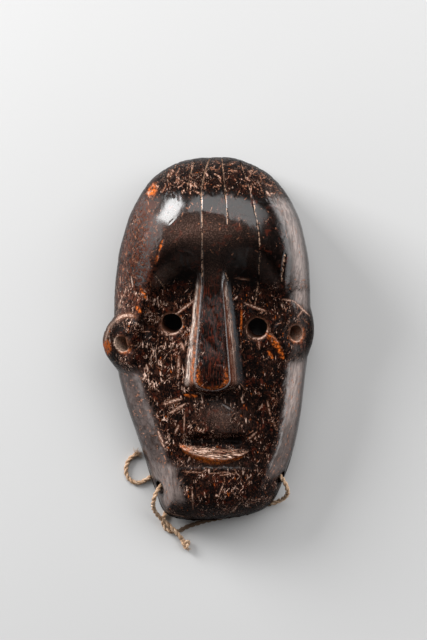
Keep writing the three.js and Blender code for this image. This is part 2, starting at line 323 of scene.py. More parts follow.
class Rim:
    """The rim's points in given directions from the middle, and what the sides there need."""

    def __init__(self, angle):
        step = 0.01
        self.angle = angle
        self.radius = rim_radius(angle)
        turn = (rim_radius(angle + step) - rim_radius(angle - step)) / (2 * step * self.radius)
        y = np.sin(angle) * self.radius
        fall = np.clip((LIFT_FROM_Y - y) / (LENGTH / 2 + LIFT_FROM_Y), 0, 1)
        self.reach = self.radius / np.hypot(1, turn)
        self.lift = CHIN_LIFT * fall**1.2
        self.front = self.side(SIDES, y)
        self.back = self.side(HOLLOW_SIDES, y)

    def side(self, sides, y):
        crown, crown_right, cheek, chin = (np.array(side) for side in sides.values())
        right = smooth(np.cos(self.angle) * self.radius, 0, 24)[..., None]
        y = y[..., None]
        high = mix(cheek, mix(crown, crown_right, right), smooth(y, -5, 62))
        return np.moveaxis(mix(high, chin, smooth(-y, 38, 60)), -1, 0)

    def plan(self, share):
        return AXIS_X + np.cos(self.angle) * self.radius * share, np.sin(self.angle) * self.radius * share


def nose_along(y):
    return np.clip((NOSE_TOP_Y - y) / (NOSE_TOP_Y - NOSE_WIDE_Y), 0, 1)


def nose_half(y):
    return mix(NOSE_BRIDGE_HALF, NOSE_TIP_HALF, nose_along(y))


def nose_out(across, y):
    """How far out from the nose's middle a place is: 1 at its edge."""
    return np.hypot(across / nose_half(y), np.maximum(0, NOSE_WIDE_Y - y) / NOSE_TIP_LENGTH)


def nose(across, y):
    out = nose_out(across, y)
    rise = mix(NOSE_BRIDGE_RISE, NOSE_TIP_RISE, nose_along(y) ** 1.1) * (1 - smooth(y, 20, 32))
    return rise * (1 - 0.3 * smooth(out, 0.66, 1.02) - 0.7 * smooth(out, 0.9, 1.42))


def lip_place(across, y):
    """How far down the lip a place is, from 0 to 1, and how full the lip is there."""
    along = np.clip((across - LIP_X) / LIP_HALF, -1, 1)
    gape = 1 - along**2
    top = LIP_Y - 1.05 * along - 0.3 * gape
    return (top - y) / (0.4 + LIP_SAG * gape**0.8), gape


def mouth(across, y):
    muzzle = between(-y, 20, 31, 35.6, 37.8) * bell(across - 2, 12)
    slit = bell(y + 38.6, 1.7) * (1 - smooth(np.abs(across - 1.7), 8, 11.5))
    down, gape = lip_place(across, y)
    lip = between(down, -0.25, 0.8, 0.92, 1.25) * gape**0.45
    edge = 1 - smooth(np.abs(across - LIP_X), LIP_HALF - 1, LIP_HALF)
    chin = smooth(CHIN_STEP_Y - y, -0.9, 0.9) * (1 - smooth(np.abs(across), 8, 24))
    return MUZZLE_RISE * muzzle - 1.8 * slit + LIP_RISE * lip * edge + 0.7 * chin


def ears_relief(x, y):
    height = 0
    for ear in EARS:
        out = np.hypot((x - ear["x"]) / 7.5, (y - ear["y"]) / 9.5)
        height = height + 2 * (1 - smooth(out, 0.7, 1.4)) - 2.2 * (1 - smooth(out, 0.2, 0.85))
    return height


def face_height(x, y):
    across = x - AXIS_X
    dome = FOREHEAD_Z - 3.5 * (across / 26) ** 2 - 5 * ((np.maximum(y, 18) - 46) / 22) ** 2
    flat = mix(FACE_Z, CHIN_Z, smooth(-y, 5, 62)) - 1.5 * (across / 28) ** 2
    side = np.minimum(1, np.abs(across) / 13)
    fall = np.where(across < 0, BROW_FALL_LEFT, BROW_FALL_RIGHT)
    brow_y = BROW_Y - fall * np.minimum(1.5, (across / 25) ** 4)
    half = mix(BROW_HALF, BROW_HALF_SIDE, side**1.5)
    under = smooth(y, brow_y - half, brow_y + half)
    return mix(flat + nose(across, y) + mouth(across, y) + ears_relief(x, y), dome, under)


def ear_pull(x, y, z):
    pull = 0
    for ear in EARS:
        up = np.clip(1 - ((y - ear["y"]) / ear["half"]) ** 2, 0, 1)
        level = np.clip(1 - ((z - 20) / 15) ** 2, 0, 1)
        edge = smooth(ear["side"] * (x - AXIS_X), 20, 34)
        pull = pull + ear["side"] * ear["out"] * up**1.1 * level * edge
    return pull


def side_shape(inwards, side):
    rounding, bow, full = side
    return (1 - (1 - np.clip(inwards / rounding, 0, 1)) ** bow) ** (1 / full)


def side_inwards(turn, side):
    rounding, bow, _ = side
    return (1 - np.cos(turn) ** (2 / bow)) * rounding


def front_points(rim, share):
    x, y = rim.plan(share)
    z = mix(rim.lift, face_height(x, y), side_shape((1 - share) * rim.reach, rim.front))
    return np.stack([x + ear_pull(x, y, z), y, z], -1)


def hollow_points(rim, share):
    x, y = rim.plan(share)
    inwards = (1 - share) * rim.reach - RIM_THICK
    face = mix(HOLLOW_FACE_Z, HOLLOW_CHIN_Z, smooth(-y, 10, 60))
    top = mix(face, HOLLOW_FOREHEAD_Z, smooth(y, 12, 42)) - 3 * ((x - AXIS_X) / 28) ** 2
    z = mix(rim.lift, top, side_shape(inwards, rim.back))
    return np.stack([x, y, z], -1)


# The mask's mesh: a fine grid over the front, rings down the sides, coarser rings in the hollow

FRONT_COLUMNS = 188
FRONT_ROWS = 326
SIDE_RINGS = 24
HOLLOW_RINGS = 7
HOLLOW_INNER_RINGS = 4
FRONT_EDGE_ANGLE = math.radians(35)
NOSE_LINES = {"at": 0, "half": 0.32, "more": 0.45}
MOUTH_LINES = {"at": -0.3, "half": 0.6, "more": 0.2}
SHARP_ANGLE = math.radians(50)
EDGE_WEAR = ((0.75, 0.0), (0.2, 0.22), (0.0, 0.8))  # in and up from the rim's outer corner


def grid_lines(count, close):
    at = np.linspace(-1, 1, 801)
    sums = np.cumsum(1 + close["more"] * bell(at - close["at"], close["half"]))
    sums = (sums - sums[0]) / (sums[-1] - sums[0])
    return np.interp(np.linspace(0, 1, count + 1), sums, at)


def ring_faces(outer, inner):
    return np.stack([outer, np.roll(outer, -1), np.roll(inner, -1), inner], -1)


class Shell:
    """Points and faces of the mask before its holes are cut."""

    def __init__(self):
        self.points = np.zeros((0, 3))
        self.faces = []
        columns = grid_lines(FRONT_COLUMNS, NOSE_LINES)
        rows = grid_lines(FRONT_ROWS, MOUTH_LINES)
        a, b = np.meshgrid(columns, rows)
        across = a * np.sqrt(1 - b * b / 2)
        along = b * np.sqrt(1 - a * a / 2)
        angle = np.arctan2(along * LENGTH / 2, across * WIDTH / 2)
        rim = Rim(angle)
        edge = 1 - side_inwards(FRONT_EDGE_ANGLE, rim.front) / rim.reach
        grid = self.add(front_points(rim, np.hypot(across, along) * edge)).reshape(angle.shape)
        quads = np.stack([grid[:-1, :-1], grid[:-1, 1:], grid[1:, 1:], grid[1:, :-1]], -1)
        self.faces += quads.reshape(-1, 4).tolist()
        border = np.concatenate([grid[0, :-1], grid[:-1, -1], grid[-1, :0:-1], grid[:0:-1, 0]])
        self.rim = Rim(np.concatenate([angle[0, :-1], angle[:-1, -1], angle[-1, :0:-1], angle[:0:-1, 0]]))
        ring = self.sides(border)
        self.outside_count = len(self.points)
        self.hollow(ring)

    def add(self, points):
        first = len(self.points)
        points = points.reshape(-1, 3)
        self.points = np.concatenate([self.points, points])
        return np.arange(first, len(self.points))

    def join(self, outer, inner):
        self.faces += ring_faces(outer, inner).tolist()
        return outer

    def sides(self, ring):
        rim = self.rim
        for turn in FRONT_EDGE_ANGLE * np.linspace(1, 0, SIDE_RINGS + 1)[1:-1] ** 2:
            share = 1 - side_inwards(turn, rim.front) / rim.reach
            ring = self.join(self.add(front_points(rim, share)), ring)
        for inwards, up in reversed(EDGE_WEAR):
            x, y = rim.plan(1 - inwards / rim.reach)
            z = rim.lift + up
            low = np.stack([x + ear_pull(x, y, z), y, z], -1)
            ring = self.join(self.add(low), ring)
        return ring

    def hollow(self, outer):
        # every second point of the rim is enough behind the mask
        rim = Rim(self.rim.angle[::2])
        inner = self.add(hollow_points(rim, self.hollow_share(rim, 0)))
        a, b, c = outer[::2], outer[1::2], np.roll(outer[::2], -1)
        i, j = inner, np.roll(inner, -1)
        for triangle in ((i, b, a), (i, j, b), (j, c, b)):
            self.faces += np.stack(triangle, -1).tolist()
        for k in range(1, HOLLOW_RINGS + 1):
            share = self.hollow_share(rim, math.pi / 2 * k / HOLLOW_RINGS)
            inner = self.next_hollow_ring(inner, rim, share)
        last = self.hollow_share(rim, math.pi / 2)
        for k in range(HOLLOW_INNER_RINGS, 0, -1):
            inner = self.next_hollow_ring(inner, rim, last * k / (HOLLOW_INNER_RINGS + 1))
        middle = self.add(hollow_points(Rim(np.zeros(1)), np.zeros(1)))[0]
        self.faces += [[b, a, middle] for a, b in zip(inner, np.roll(inner, -1))]

    def next_hollow_ring(self, outer, rim, share):
        inner = self.add(hollow_points(rim, share))
        self.faces += ring_faces(inner, outer).tolist()
        return inner

    def hollow_share(self, rim, turn):
        return 1 - (RIM_THICK + side_inwards(turn, rim.back)) / rim.reach

    def normals(self):
        total = np.zeros_like(self.points)
        quads = np.array([face for face in self.faces if len(face) == 4])
        a, b, c, d = (self.points[corner] for corner in quads.T)
        facing = np.cross(c - a, d - b)
        for corner in quads.T:
            np.add.at(total, corner, facing)
        return total / np.maximum(1e-9, np.linalg.norm(total, axis=1, keepdims=True))


# Marks of the knife, of age and of wear, and a few painted highlights. Lines are x, y, x, y in plan.

random = np.random.default_rng(1187)

CRACKS = (
    (0.26, (-11.6, 68.5), (-13.5, 63.1), (-16.6, 58.5)),
    (0.24, (-5.1, 68.5), (-7.0, 61.9), (-8.1, 56.5)),
    (0.32, (0.9, 69.9), (-1.2, 64.2), (-2.6, 56.9), (-2.4, 49.2), (-2.2, 34.2), (-2.2, 20.8)),
    (0.28, (5.3, 69.0), (6.1, 60.0), (6.9, 51.9), (7.4, 43.7)),
    (0.28, (12.2, 68), (14.6, 60.8), (17.0, 53.1), (19.0, 42.7), (19.8, 33.5), (19.2, 22.7), (18.0, 13.1)),
    (0.34, (29.2, 32.3), (28.4, 26.5), (28.0, 21.9)),
    (0.30, (6.4, 25.9), (7.8, 22.1)),
    (0.26, (-20.1, 24.4), (-16.6, 19.7)),
)
PALE_AND_HIGHLIGHT_LINES = (
    (10.2, 23.3, 16.4, 22.7, 0.35),
    (14.0, 13.8, 22.2, 10.6, 0.5),
    (23.7, 2.3, 27.2, -1.8, 0.35),
    (-17.4, -24.7, -10.1, -22.8, 0.75),
    (-14.9, -28.4, -8.7, -24.7, 0.6),
    (-9.0, -28.1, -9.3, -35.4, 0.3),
    (-12.9, -36.5, -11.2, -32.7, 0.5),
    (-3.1, -35.4, -2.5, -34.0, 0.35),
    (-2.2, -35.8, -1.4, -34.3, 0.35),
    (15.3, -38.3, 18.7, -35.5, 0.45),
    (4.0, -60.3, 6.0, -55.2, 0.3),
    (-6.2, -57.3, -5.8, -65.4, 0.3),
    (9.6, -66.5, 11.3, -63.7, 0.35),
    (24.9, -31.5, 26.5, -34.9, 0.35),
    (20.9, -25.0, 19.2, -27.3, 0.35),
    (19.2, 0.8, 19.6, -3.8, 0.35),
    (4.6, -52.1, 10.2, -51.5, 0.35),
    (-19.1, -35.4, -16.9, -41.2, 0.7),
    (-11.2, -6.5, -11.6, -15.0, 0.6),
    (-12.7, 9.2, -5.1, 15.0, 0.5),
    (22.6, -23.5, 23.8, -29.2, 0.4),
    (28.6, 15.2, 33.0, 14.4, 0.45),
    (33.0, 14.4, 39.2, 8.6, 0.45),
    (36.2, 11.0, 34.1, 8.3, 0.4),
    # These three run along the chin's lower left edge: a painted highlight.
    (-20.2, -60.4, -18.4, -64.2, 0.35),
    (-18.4, -64.2, -14.6, -67.2, 0.35),
    (-14.6, -67.2, -8.6, -68.6, 0.3),
    (-10.0, -50.6, -2.0, -51.2, 0.3),
    (0.5, -51.4, 8.5, -51.0, 0.25),
    (-10.4, -1.0, -9.2, -4.4, 0.6),
)
ORANGE_LINES = (
    (-25.7, 19.4, -23.4, 15.3, 0.5),
    (-27.5, 12.4, -25.7, 10.0, 0.6),
    (12.7, 13.5, 12.6, 1.2, 0.35),
    (25.4, 0.1, 28.6, -7.3, 0.9),
    (22.2, 2.3, 26.0, -3.2, 0.6),
    (23.8, 1.2, 26.1, -3.1, 0.8),
    (23.0, -4.6, 24.6, -7.3, 0.5),
    (-9.0, -21.3, -4.5, -21.9, 0.5),
    (-17.2, 37.6, -18.4, 34.0, 0.45),
    (-19.0, 32.0, -20.0, 29.0, 0.45),
)
ORANGE_SPOTS = (  # x, y, half across, half along, the height they reach down to and strength
    (-21.8, 57.6, 2.6, 3.6, 25, 1.3),
    (-39.2, -3.2, 2.3, 3.3, 17, 3),
    (-2.2, -46.6, 3.2, 0.8, 16, 1),
)
SOCKETS_ACROSS = (-12, 15)  # the hollows over the eyes, from the mask's axis
SOCKETS_Y = 27.5
DOME_EDGE_Y = 48.8
CUT_DEPTHS = (0.04, 0.12)
MARK_DEPTHS = (0.04, 0.16)
CHIP_DEPTH = 0.22
CRACK_DEPTH = 0.5


class Plan:
    """Marks drawn on points, seen in plan."""

    def __init__(self, points):
        self.order = np.argsort(points[:, 1])
        self.x = points[self.order, 0]
        self.y = points[self.order, 1]

    def blank(self):
        return np.zeros(len(self.x))

    def draw(self, values, line, strength):
        """Raises sorted values to strength along the line, fading over its half width."""
        x0, y0, x1, y1, half = line
        reach = half * 2
        low, high = np.searchsorted(self.y, (min(y0, y1) - reach, max(y0, y1) + reach))
        x, y = self.x[low:high], self.y[low:high]
        dx, dy = x1 - x0, y1 - y0
        along = np.clip(((x - x0) * dx + (y - y0) * dy) / (dx * dx + dy * dy), 0, 1)
        out = np.hypot(x - x0 - along * dx, y - y0 - along * dy) / half
        taper = 1 - 0.5 * (2 * along - 1) ** 2
        mark = strength * (1 - smooth(out, taper * 0.4, taper * 1.5))
        values[low:high] = np.maximum(values[low:high], mark)

    def draw_all(self, values, lines, strength):
        for line in lines:
            self.draw(values, line, strength)

    def scatter(self, values, lines, low, high):
        """Draws each line at a seeded strength from low to high."""
        for line in lines:
            self.draw(values, line, random.uniform(low, high))

    def back(self, values):
        unsorted = np.empty_like(values)
        unsorted[self.order] = values
        return unsorted


def crack_lines():
    for half, *stops in CRACKS:
        for (x0, y0), (x1, y1) in zip(stops, stops[1:]):
            yield x0, y0, x1, y1, half


def rim_distance(x, y):
    """How far in from the rim a place is, seen in plan."""
    rim = Rim(np.arctan2(y, x - AXIS_X))
    return rim.reach * (1 - np.hypot(x - AXIS_X, y) / rim.radius)


def ear_lobes(x, y):
    return sum(1 - smooth(np.hypot((x - e["x"]) / 8, (y - e["y"]) / 10.5), 0.7, 1.35) for e in EARS)


def side_band(x, y):
    """The smooth bevel between the rim and the rough front, from the temples to the jaw."""
    width = mix(9.5, 7.6, smooth(x, -10, 10))
    edge = 1 - smooth(rim_distance(x, y), width - 2.2, width + 1.6)
    low = mix(mix(66, 56, smooth(x, -18, -10)), 52, smooth(x, 4, 14))
    edge = edge * (1 - smooth(-y, low - 1, low + 4))
    chin_left = (1 - smooth(x + 0.35 * (y + 54), -14, -8.5)) * between(-y, 42, 50, 61, 65)
    top = mix(-9, 14, smooth(x, -4, 4))
    return np.maximum(edge, chin_left) * (1 - smooth(y, top, top + 10)) * (1 - ear_lobes(x, y))


def tooled(x, y):
    """How much a place is left rough from the tool, from 0 to 1."""
    crown = smooth(y + 0.12 * np.abs(x), 53, 62)
    lower = 1 - smooth(y, 14, 27)
    philtrum = bell(x - 4.6 + 0.25 * (y + 28), 7) * between(-y, 20, 25, 33, 38)
    below_lip = bell(x - 3, 15) * between(-y, 45, 47.5, 48, 51.5)
    bridge = bell(x - AXIS_X, 6.5) * between(y, -22, -16, 24, 34)
    temple = 0.6 * smooth(-x, 21, 30)
    rough = np.maximum(crown, lower) * (1 - 0.8 * philtrum) * (1 - 0.75 * below_lip)
    rough = np.maximum(rough * (1 - 0.95 * bridge), temple)
    return np.clip(np.maximum(rough, 0.85 * ear_lobes(x, y)) + 0.06, 0, 1)


def dusting(x, y):
    """How much pale dust the rough places hold: most on the crown and the left of the face."""
    face = mix(0.72, 0.3, smooth(x, -9, 14)) - 0.2 * bell(x + 10, 9) * bell(y + 29, 10)
    chin = mix(face, 0.5, smooth(-y, 46, 52))
    brow = mix(chin, 0.25, smooth(y, 14, 26))
    low = mix(brow, 0.32, smooth(-y, 60, 65))
    crown = mix(low, mix(0.4, 0.2, smooth(y, 62, 67)), smooth(y, 48, 56))
    beside = mix(crown, 0.8, smooth(-x, 24, 29) * between(y, 2, 7, 16, 26))
    return mix(beside, mix(0.5, 0.15, smooth(x, -10, 10)), np.clip(ear_lobes(x, y), 0, 1))


def mostly_tooled(x, y):
    return 0.35 + 0.5 * tooled(x, y)


def on_crown(x, y):
    return smooth(y, 51, 58)


def on_forehead(x, y):
    return 0.5 * smooth(y, 30, 36)


def off_middle(x, y):
    return abs(x) > 14


def random_lines(count, length, half, turns, spread, chance):
    """Short lines at seeded places. Each is kept by the chance at its place."""
    made = []
    for _ in range(count):
        x = random.uniform(-40, 42)
        y = random.uniform(-70, 70)
        turn = math.radians(random.choice(turns) + random.normal(0, spread))
        reach = random.uniform(*length) / 2
        wide = random.uniform(*half)
        if random.random() < chance(x, y):
            dx, dy = reach * math.cos(turn), reach * math.sin(turn)
            made.append((x - dx, y - dy, x + dx, y + dy, wide))
    return made


KNIFE_CUTS = random_lines(900, (5, 12), (0.9, 1.8), (90, 80, 100, 60, 120), 9, mostly_tooled)
TOOL_MARKS = random_lines(2600, (1.5, 5.5), (0.22, 0.42), (90, 55, 125, 20, 160), 14, tooled)
FLECKS = random_lines(900, (1.0, 3.6), (0.12, 0.2), (90, 70, 110, 25, 150), 25, tooled)


def undulation(x, y):
    """The slow unevenness of hand carving, in mm."""
    height = 0
    for _ in range(14):
        turn = random.uniform(0, math.pi)
        length = random.uniform(9, 24)
        phase = random.uniform(0, 2 * math.pi)
        along = x * math.cos(turn) + y * math.sin(turn)
        height = height + np.sin(along * 2 * math.pi / length + phase) * length
    return height * 0.0021


def brow_crease(x, y):
    """The slope over the eyes, which starts where the forehead's dome breaks."""
    below = DOME_EDGE_Y - np.where(x < -4, 0.05, 0.022) * (x + 4) ** 2 - y
    return 0.085 * np.clip(below, 0, 6) * (1 - smooth(below, 8, 18)) * bell(x - 1, 17)


def worn_mouths(x, y):
    """The countersunk and worn mouths of the eye and ear holes."""
    depth = 0
    mouths = [(*eye, EYE_BORE) for eye in EYES] + [(ear["x"], ear["y"], ear["hole"]) for ear in EARS]
    for hole_x, hole_y, diameter in mouths:
        depth = depth + 0.8 * bell(np.hypot(x - hole_x, y - hole_y) - diameter / 2 + 0.3, 1.1)
    return depth


def carve_marks(points):
    """How far each point of the outside is moved along its normal, in mm."""
    x, y = points[:, 0], points[:, 1]
    plan = Plan(points)
    cuts, marks, cracks, chips = (plan.blank() for _ in range(4))
    plan.scatter(cuts, KNIFE_CUTS, *CUT_DEPTHS)
    plan.scatter(marks, TOOL_MARKS, *MARK_DEPTHS)
    plan.draw_all(chips, PALE_AND_HIGHLIGHT_LINES + ORANGE_LINES, CHIP_DEPTH)
    plan.draw_all(cracks, crack_lines(), CRACK_DEPTH)
    depth = plan.back(np.maximum(cuts, chips) + marks + cracks)
    depth = depth * (1 - 0.75 * side_band(x, y)) * (1 - 0.6 * between(y, 27, 35, 52, 57))
    return undulation(x, y) - depth - brow_crease(x, y) - worn_mouths(x, y)


# Holes


def bores():
    """Centre, direction, diameter and length of each drilled hole."""
    for x, y in EYES:
        yield (x, y, FACE_Z), EYE_LEAN, EYE_BORE, EYE_DRILL
    for ear in EARS:
        lean = math.radians(ear["lean"])
        outwards = (ear["side"] * math.sin(lean), 0, math.cos(lean))
        yield (ear["x"], ear["y"], ear["z"]), outwards, ear["hole"], SIDE_DRILL
    for centre, direction in JAW_HOLES:
        yield centre, direction, JAW_BORE, SIDE_DRILL


def drill(name, sides=44, wobble=0.03):
    """One mesh of all the drills, a little out of round."""
    points = []
    faces = []
    for centre, direction, diameter, length in bores():
        turn = Vector((0, 0, 1)).rotation_difference(Vector(direction).normalized()).to_matrix()
        low = len(points) + np.arange(sides)
        high = low + sides
        phase = random.uniform(0, 6)
        for end in (-1, 1):
            for i in range(sides):
                angle = 2 * math.pi * i / sides
                swell = math.sin(2 * angle + phase) + math.sin(5 * angle + phase) / 2
                radius = diameter / 2 * (1 + wobble * swell)
                at = Vector((radius * math.cos(angle), radius * math.sin(angle), end * length / 2))
                points.append(tuple(Vector(centre) + turn @ at))
        faces += [low[::-1].tolist(), high.tolist()] + ring_faces(low, high).tolist()
    mesh = bpy.data.meshes.new(name)
    mesh.from_pydata((np.array(points) * MM).tolist(), [], faces)
    return placed(name, mesh)


def cut_holes(piece):
    tool = drill("drills")
    cut = piece.modifiers.new("holes", "BOOLEAN")
    cut.operation = "DIFFERENCE"
    cut.solver = "MANIFOLD"
    cut.object = tool
    ready = piece.evaluated_get(bpy.context.evaluated_depsgraph_get())
    whole = piece.data
    piece.data = bpy.data.meshes.new_from_object(ready)
    piece.modifiers.clear()
    piece.data.name = whole.name
    bpy.data.meshes.remove(whole)
    bpy.data.objects.remove(tool)


def make_mask():
    shell = Shell()
    outside = shell.points[: shell.outside_count]
    shift = carve_marks(outside)
    facing = shell.normals()[: shell.outside_count]
    from_floor = smooth(outside[:, 2], 0.5, 3)
    outside += facing * (shift * from_floor)[:, None]
    piece = mesh_piece("carved_mask", shell.points, shell.faces)
    cut_holes(piece)
    piece.data.set_sharp_from_angle(angle=SHARP_ANGLE)
    mark_wear_and_painted_light(piece)
    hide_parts("mask")
    return piece


# Where the wear, the painted light and the painted shade lie: values at the mask's points, which its
# finish reads


def vectors(items, name):
    flat = np.zeros(len(items) * 3)
    items.foreach_get(name, flat)
    return flat.reshape(-1, 3)


class Skin:
    """The carved and drilled mask's points, and what several kinds of wear and of painted light and shade
    need at them.
    """

    def __init__(self, piece):
        self.points = vectors(piece.data.vertices, "co") / MM
        self.facing = vectors(piece.data.vertex_normals, "vector")
        self.x, self.y, self.z = self.points.T
        x, y = self.x, self.y
        self.up = self.facing[:, 2]
        self.across = x - AXIS_X
        self.from_rim = rim_distance(x, y)
        self.rim_edge = 1 - smooth(self.from_rim, 0.5, 2.0)
        self.chin_edge = smooth(-y, 61, 66)
        self.under_ear = 1 - smooth(self.from_rim, -0.4, 0.1)
        self.outside = np.maximum(smooth(self.up, -0.3, 0.05), self.under_ear)
        self.band = side_band(x, y)
        upper = smooth(y, 0, 20) * (1 - 0.85 * smooth(y, 48, 58))
        self.sides = np.maximum(self.band, (1 - smooth(self.up, 0.45, 0.8)) * upper)
        hollows = sum(bell(self.across - middle, 11.7) for middle in SOCKETS_ACROSS)
        self.sockets = hollows * bell(y - SOCKETS_Y, 8.5)


def drawn_wear_and_highlights(skin):
    """Cracks, pale and orange chips and flecks, and pale lines that are painted highlights.

    They are drawn in plan and would run down a steep side as long streaks, so they fade there.
    """
    plan = Plan(skin.points)
    cracks, pale, orange, flecks, specks = (plan.blank() for _ in range(5))
    plan.draw_all(cracks, crack_lines(), 1)
    plan.draw_all(pale, PALE_AND_HIGHLIGHT_LINES, 0.9)
    plan.draw_all(orange, ORANGE_LINES, 1)
    plan.scatter(flecks, FLECKS, 0.1, 0.75)
    chips = random_lines(1300, (1.2, 4.0), (0.25, 0.5), (0, 35, 70, 110, 150), 20, on_crown)
    plan.scatter(flecks, chips, 0.3, 1.0)
    nicks = random_lines(2200, (0.5, 1.8), (0.2, 0.36), (90, 30, 60, 120, 150), 20, on_forehead)
    plan.scatter(flecks, nicks, 0.15, 0.55)
    scuffs = random_lines(3200, (0.4, 2.4), (0.18, 0.3), (90, 75, 105, 10, 50), 20, off_middle)
    plan.scatter(specks, scuffs, 0.15, 0.62)
    cracks, pale, orange, flecks, specks = map(plan.back, (cracks, pale, orange, flecks, specks))
    temple = smooth(-skin.x, 15, 22) * between(skin.y, 20, 28, 56, 62)
    flecks = np.maximum(flecks, specks * np.maximum(skin.sides, temple))
    fades = (cracks, -0.1, 0.3), (pale, 0.1, 0.35), (orange, 0.0, 0.25), (flecks, 0.15, 0.45)
    return (values * smooth(skin.up, low, high) for values, low, high in fades)


def worn_holes(skin):
    """The holes' bored walls, ear walls pale with dust and painted light, rubbed and orange mouths, and
    painted shade round the jaw holes.
    """
    bored, dust_and_light, rubbed, orange, painted_shade = (np.zeros(len(skin.points)) for _ in range(5))
    for centre, direction, diameter, _ in bores():
        axis = np.array(direction) / np.linalg.norm(direction)
        away = skin.points - np.array(centre)
        height = away @ axis
        off = away - np.outer(height, axis)
        out = np.linalg.norm(off, axis=1) - diameter / 2
        if diameter == JAW_BORE:
            # painted shade round the jaw holes
            painted_shade = np.maximum(painted_shade, (1 - smooth(out, 0.4, 1.3)) * (np.abs(height) < 12))
            continue
        near = height > -6
        bored = np.maximum(bored, (np.abs(out) < 0.35) & (np.abs(skin.facing @ axis) < 0.5))
        worn_side = 0.4 + 0.6 * smooth(-away[:, 1] + 0.4 * away[:, 0], -0.5, 3)
        rubbed = np.maximum(rubbed, bell(out - 0.2, 0.5) * near * worn_side)
        if diameter in EAR_BORES:
            # the outer wall, pale partly with dust and partly with painted light
            outer_wall = smooth(off[:, 0] * np.sign(centre[0]) - 0.4 * off[:, 1], -1.2, 1.0)
            dust_and_light = np.maximum(dust_and_light, (out < 0.2) * outer_wall * (1.0 if centre[0] < 0 else 0.65))
            lower_right = smooth(away[:, 0] - away[:, 1], -1, 3.5)
            orange = np.maximum(orange, bell(out + 0.2, 1.0) * lower_right * near * 0.8)
    return bored, dust_and_light, rubbed, orange * smooth(skin.up, 0.0, 0.25), painted_shade


def orange_spots(skin):
    spots = 0
    for x, y, half_x, half_y, low, strength in ORANGE_SPOTS:
        out = np.hypot((skin.x - x) / half_x, (skin.y - y) / half_y)
        spot = strength * (1 - smooth(out, 0.4, 1.1)) * smooth(skin.up, -0.4, 0)
        spots = np.maximum(spots, spot * smooth(skin.z, low - 2, low + 3))
    return spots


def lip_wear_and_highlight(skin):
    """The lip's pale front, worn and partly a painted highlight, and the orange chips along its lower
    edge.
    """
    down, gape = lip_place(skin.across, skin.y)
    lip = between(down, -0.05, 0.12, 0.82, 0.98) * smooth(gape, 0.0, 0.1)
    chips = between(down, 0.8, 0.95, 1.15, 1.4) * smooth(gape, 0.1, 0.4)
    chips = chips * np.where(skin.across < 4, 1, 0.55)
    chips = np.maximum(chips, lip * (1 - smooth(skin.across, -11, -7)))
    return lip, chips * (0.45 + 0.55 * smooth(skin.up, 0.1, 0.5))


def lobe_edge(skin):
    """A painted highlight along the left ear's upper edge."""
    ear = EARS[0]
    dx, dy = skin.x - ear["x"], skin.y - ear["y"]
    edge = 1.1 * bell(np.hypot(dx / 8.4, dy / 10.5) - 1.04, 0.08) * smooth(dy - 0.8 * dx, 3, 8)
    return edge * (1 - smooth(skin.x, -30, -26)) * smooth(skin.up, 0.05, 0.3)


def nose_front(across, y):
    half = mix(NOSE_BRIDGE_HALF, NOSE_TIP_HALF, np.clip((NOSE_TOP_Y - y) / NOSE_FRONT_LENGTH, 0, 1))
    return (1 - smooth(np.abs(across) / half, 0.75, 1.0)) * between(y, -21, -18, 18, 26)


def painted_sheen(skin):
    """Painted sheen along the right side, fainter at the jaw, and on the chin's left corner."""
    x, y = skin.x, skin.y
    sheen_share = bell(skin.from_rim - 4.2, 2.2) * smooth(x, 12, 24) * between(y, -54, -49, 50, 60)
    sheen_share = sheen_share * (1 - 0.85 * np.clip(ear_lobes(x, y) * 1.3, 0, 1)) * (1 - 0.85 * smooth(-y, 22, 40))
    return np.maximum(sheen_share, 0.36 * skin.band * smooth(-y, 46, 50) * smooth(-x, 6, 10))


def painted_slope_light(x, y):
    """Painted light: a lighter brown where broad light falls on the forehead's slope, the muzzle, under
    the lip and above the nose.
    """
    lit_slope = bell(x + 2.5, 15) * bell(y - 40.5, 6.5)
    muzzle = 0.95 * bell(x - 5 + 0.25 * (y + 28), 7.5) * bell(y + 30, 5)
    below_lip = 0.5 * bell(x - 3, 15) * bell(y + 48, 1.8)
    above_nose = 0.4 * bell(x - 2, 6) * bell(y - 27, 6)
    return np.maximum.reduce([lit_slope, muzzle, below_lip, above_nose])


def dull_places(skin):
    x, y = skin.x, skin.y
    steep = (1 - smooth(skin.up, 0.16, 0.5)) * (1 - 0.7 * smooth(x, 10, 24))
    right = 0.6 * smooth(x, 16, 24) * between(y, 12, 20, 50, 58) * smooth(skin.from_rim, 5.5, 8)
    crown = 0.9 * smooth(y, 57.5, 62)
    return np.clip(steep + right + crown + skin.rim_edge + 0.85 * skin.sockets + skin.chin_edge, 0, 1)


# Painted shade: darker in the sockets over the eyes, the mouth's slit, under the nose, round the jaw holes
# and along the rim and the chin's lower edge.
def painted_shade_places(skin, jaw_holes):
    slit = bell(skin.y + 39.4, 1.5) * (1 - smooth(np.abs(skin.across - 0.7), 9, 13))
    under_nose = bell(skin.y + 21.8, 1.7) * bell(skin.across, 7)
    edges = 0.15 * skin.chin_edge + 0.7 * skin.rim_edge
    return np.clip(0.9 * skin.sockets + slit + 0.8 * under_nose + 0.9 * jaw_holes + edges, 0, 1)


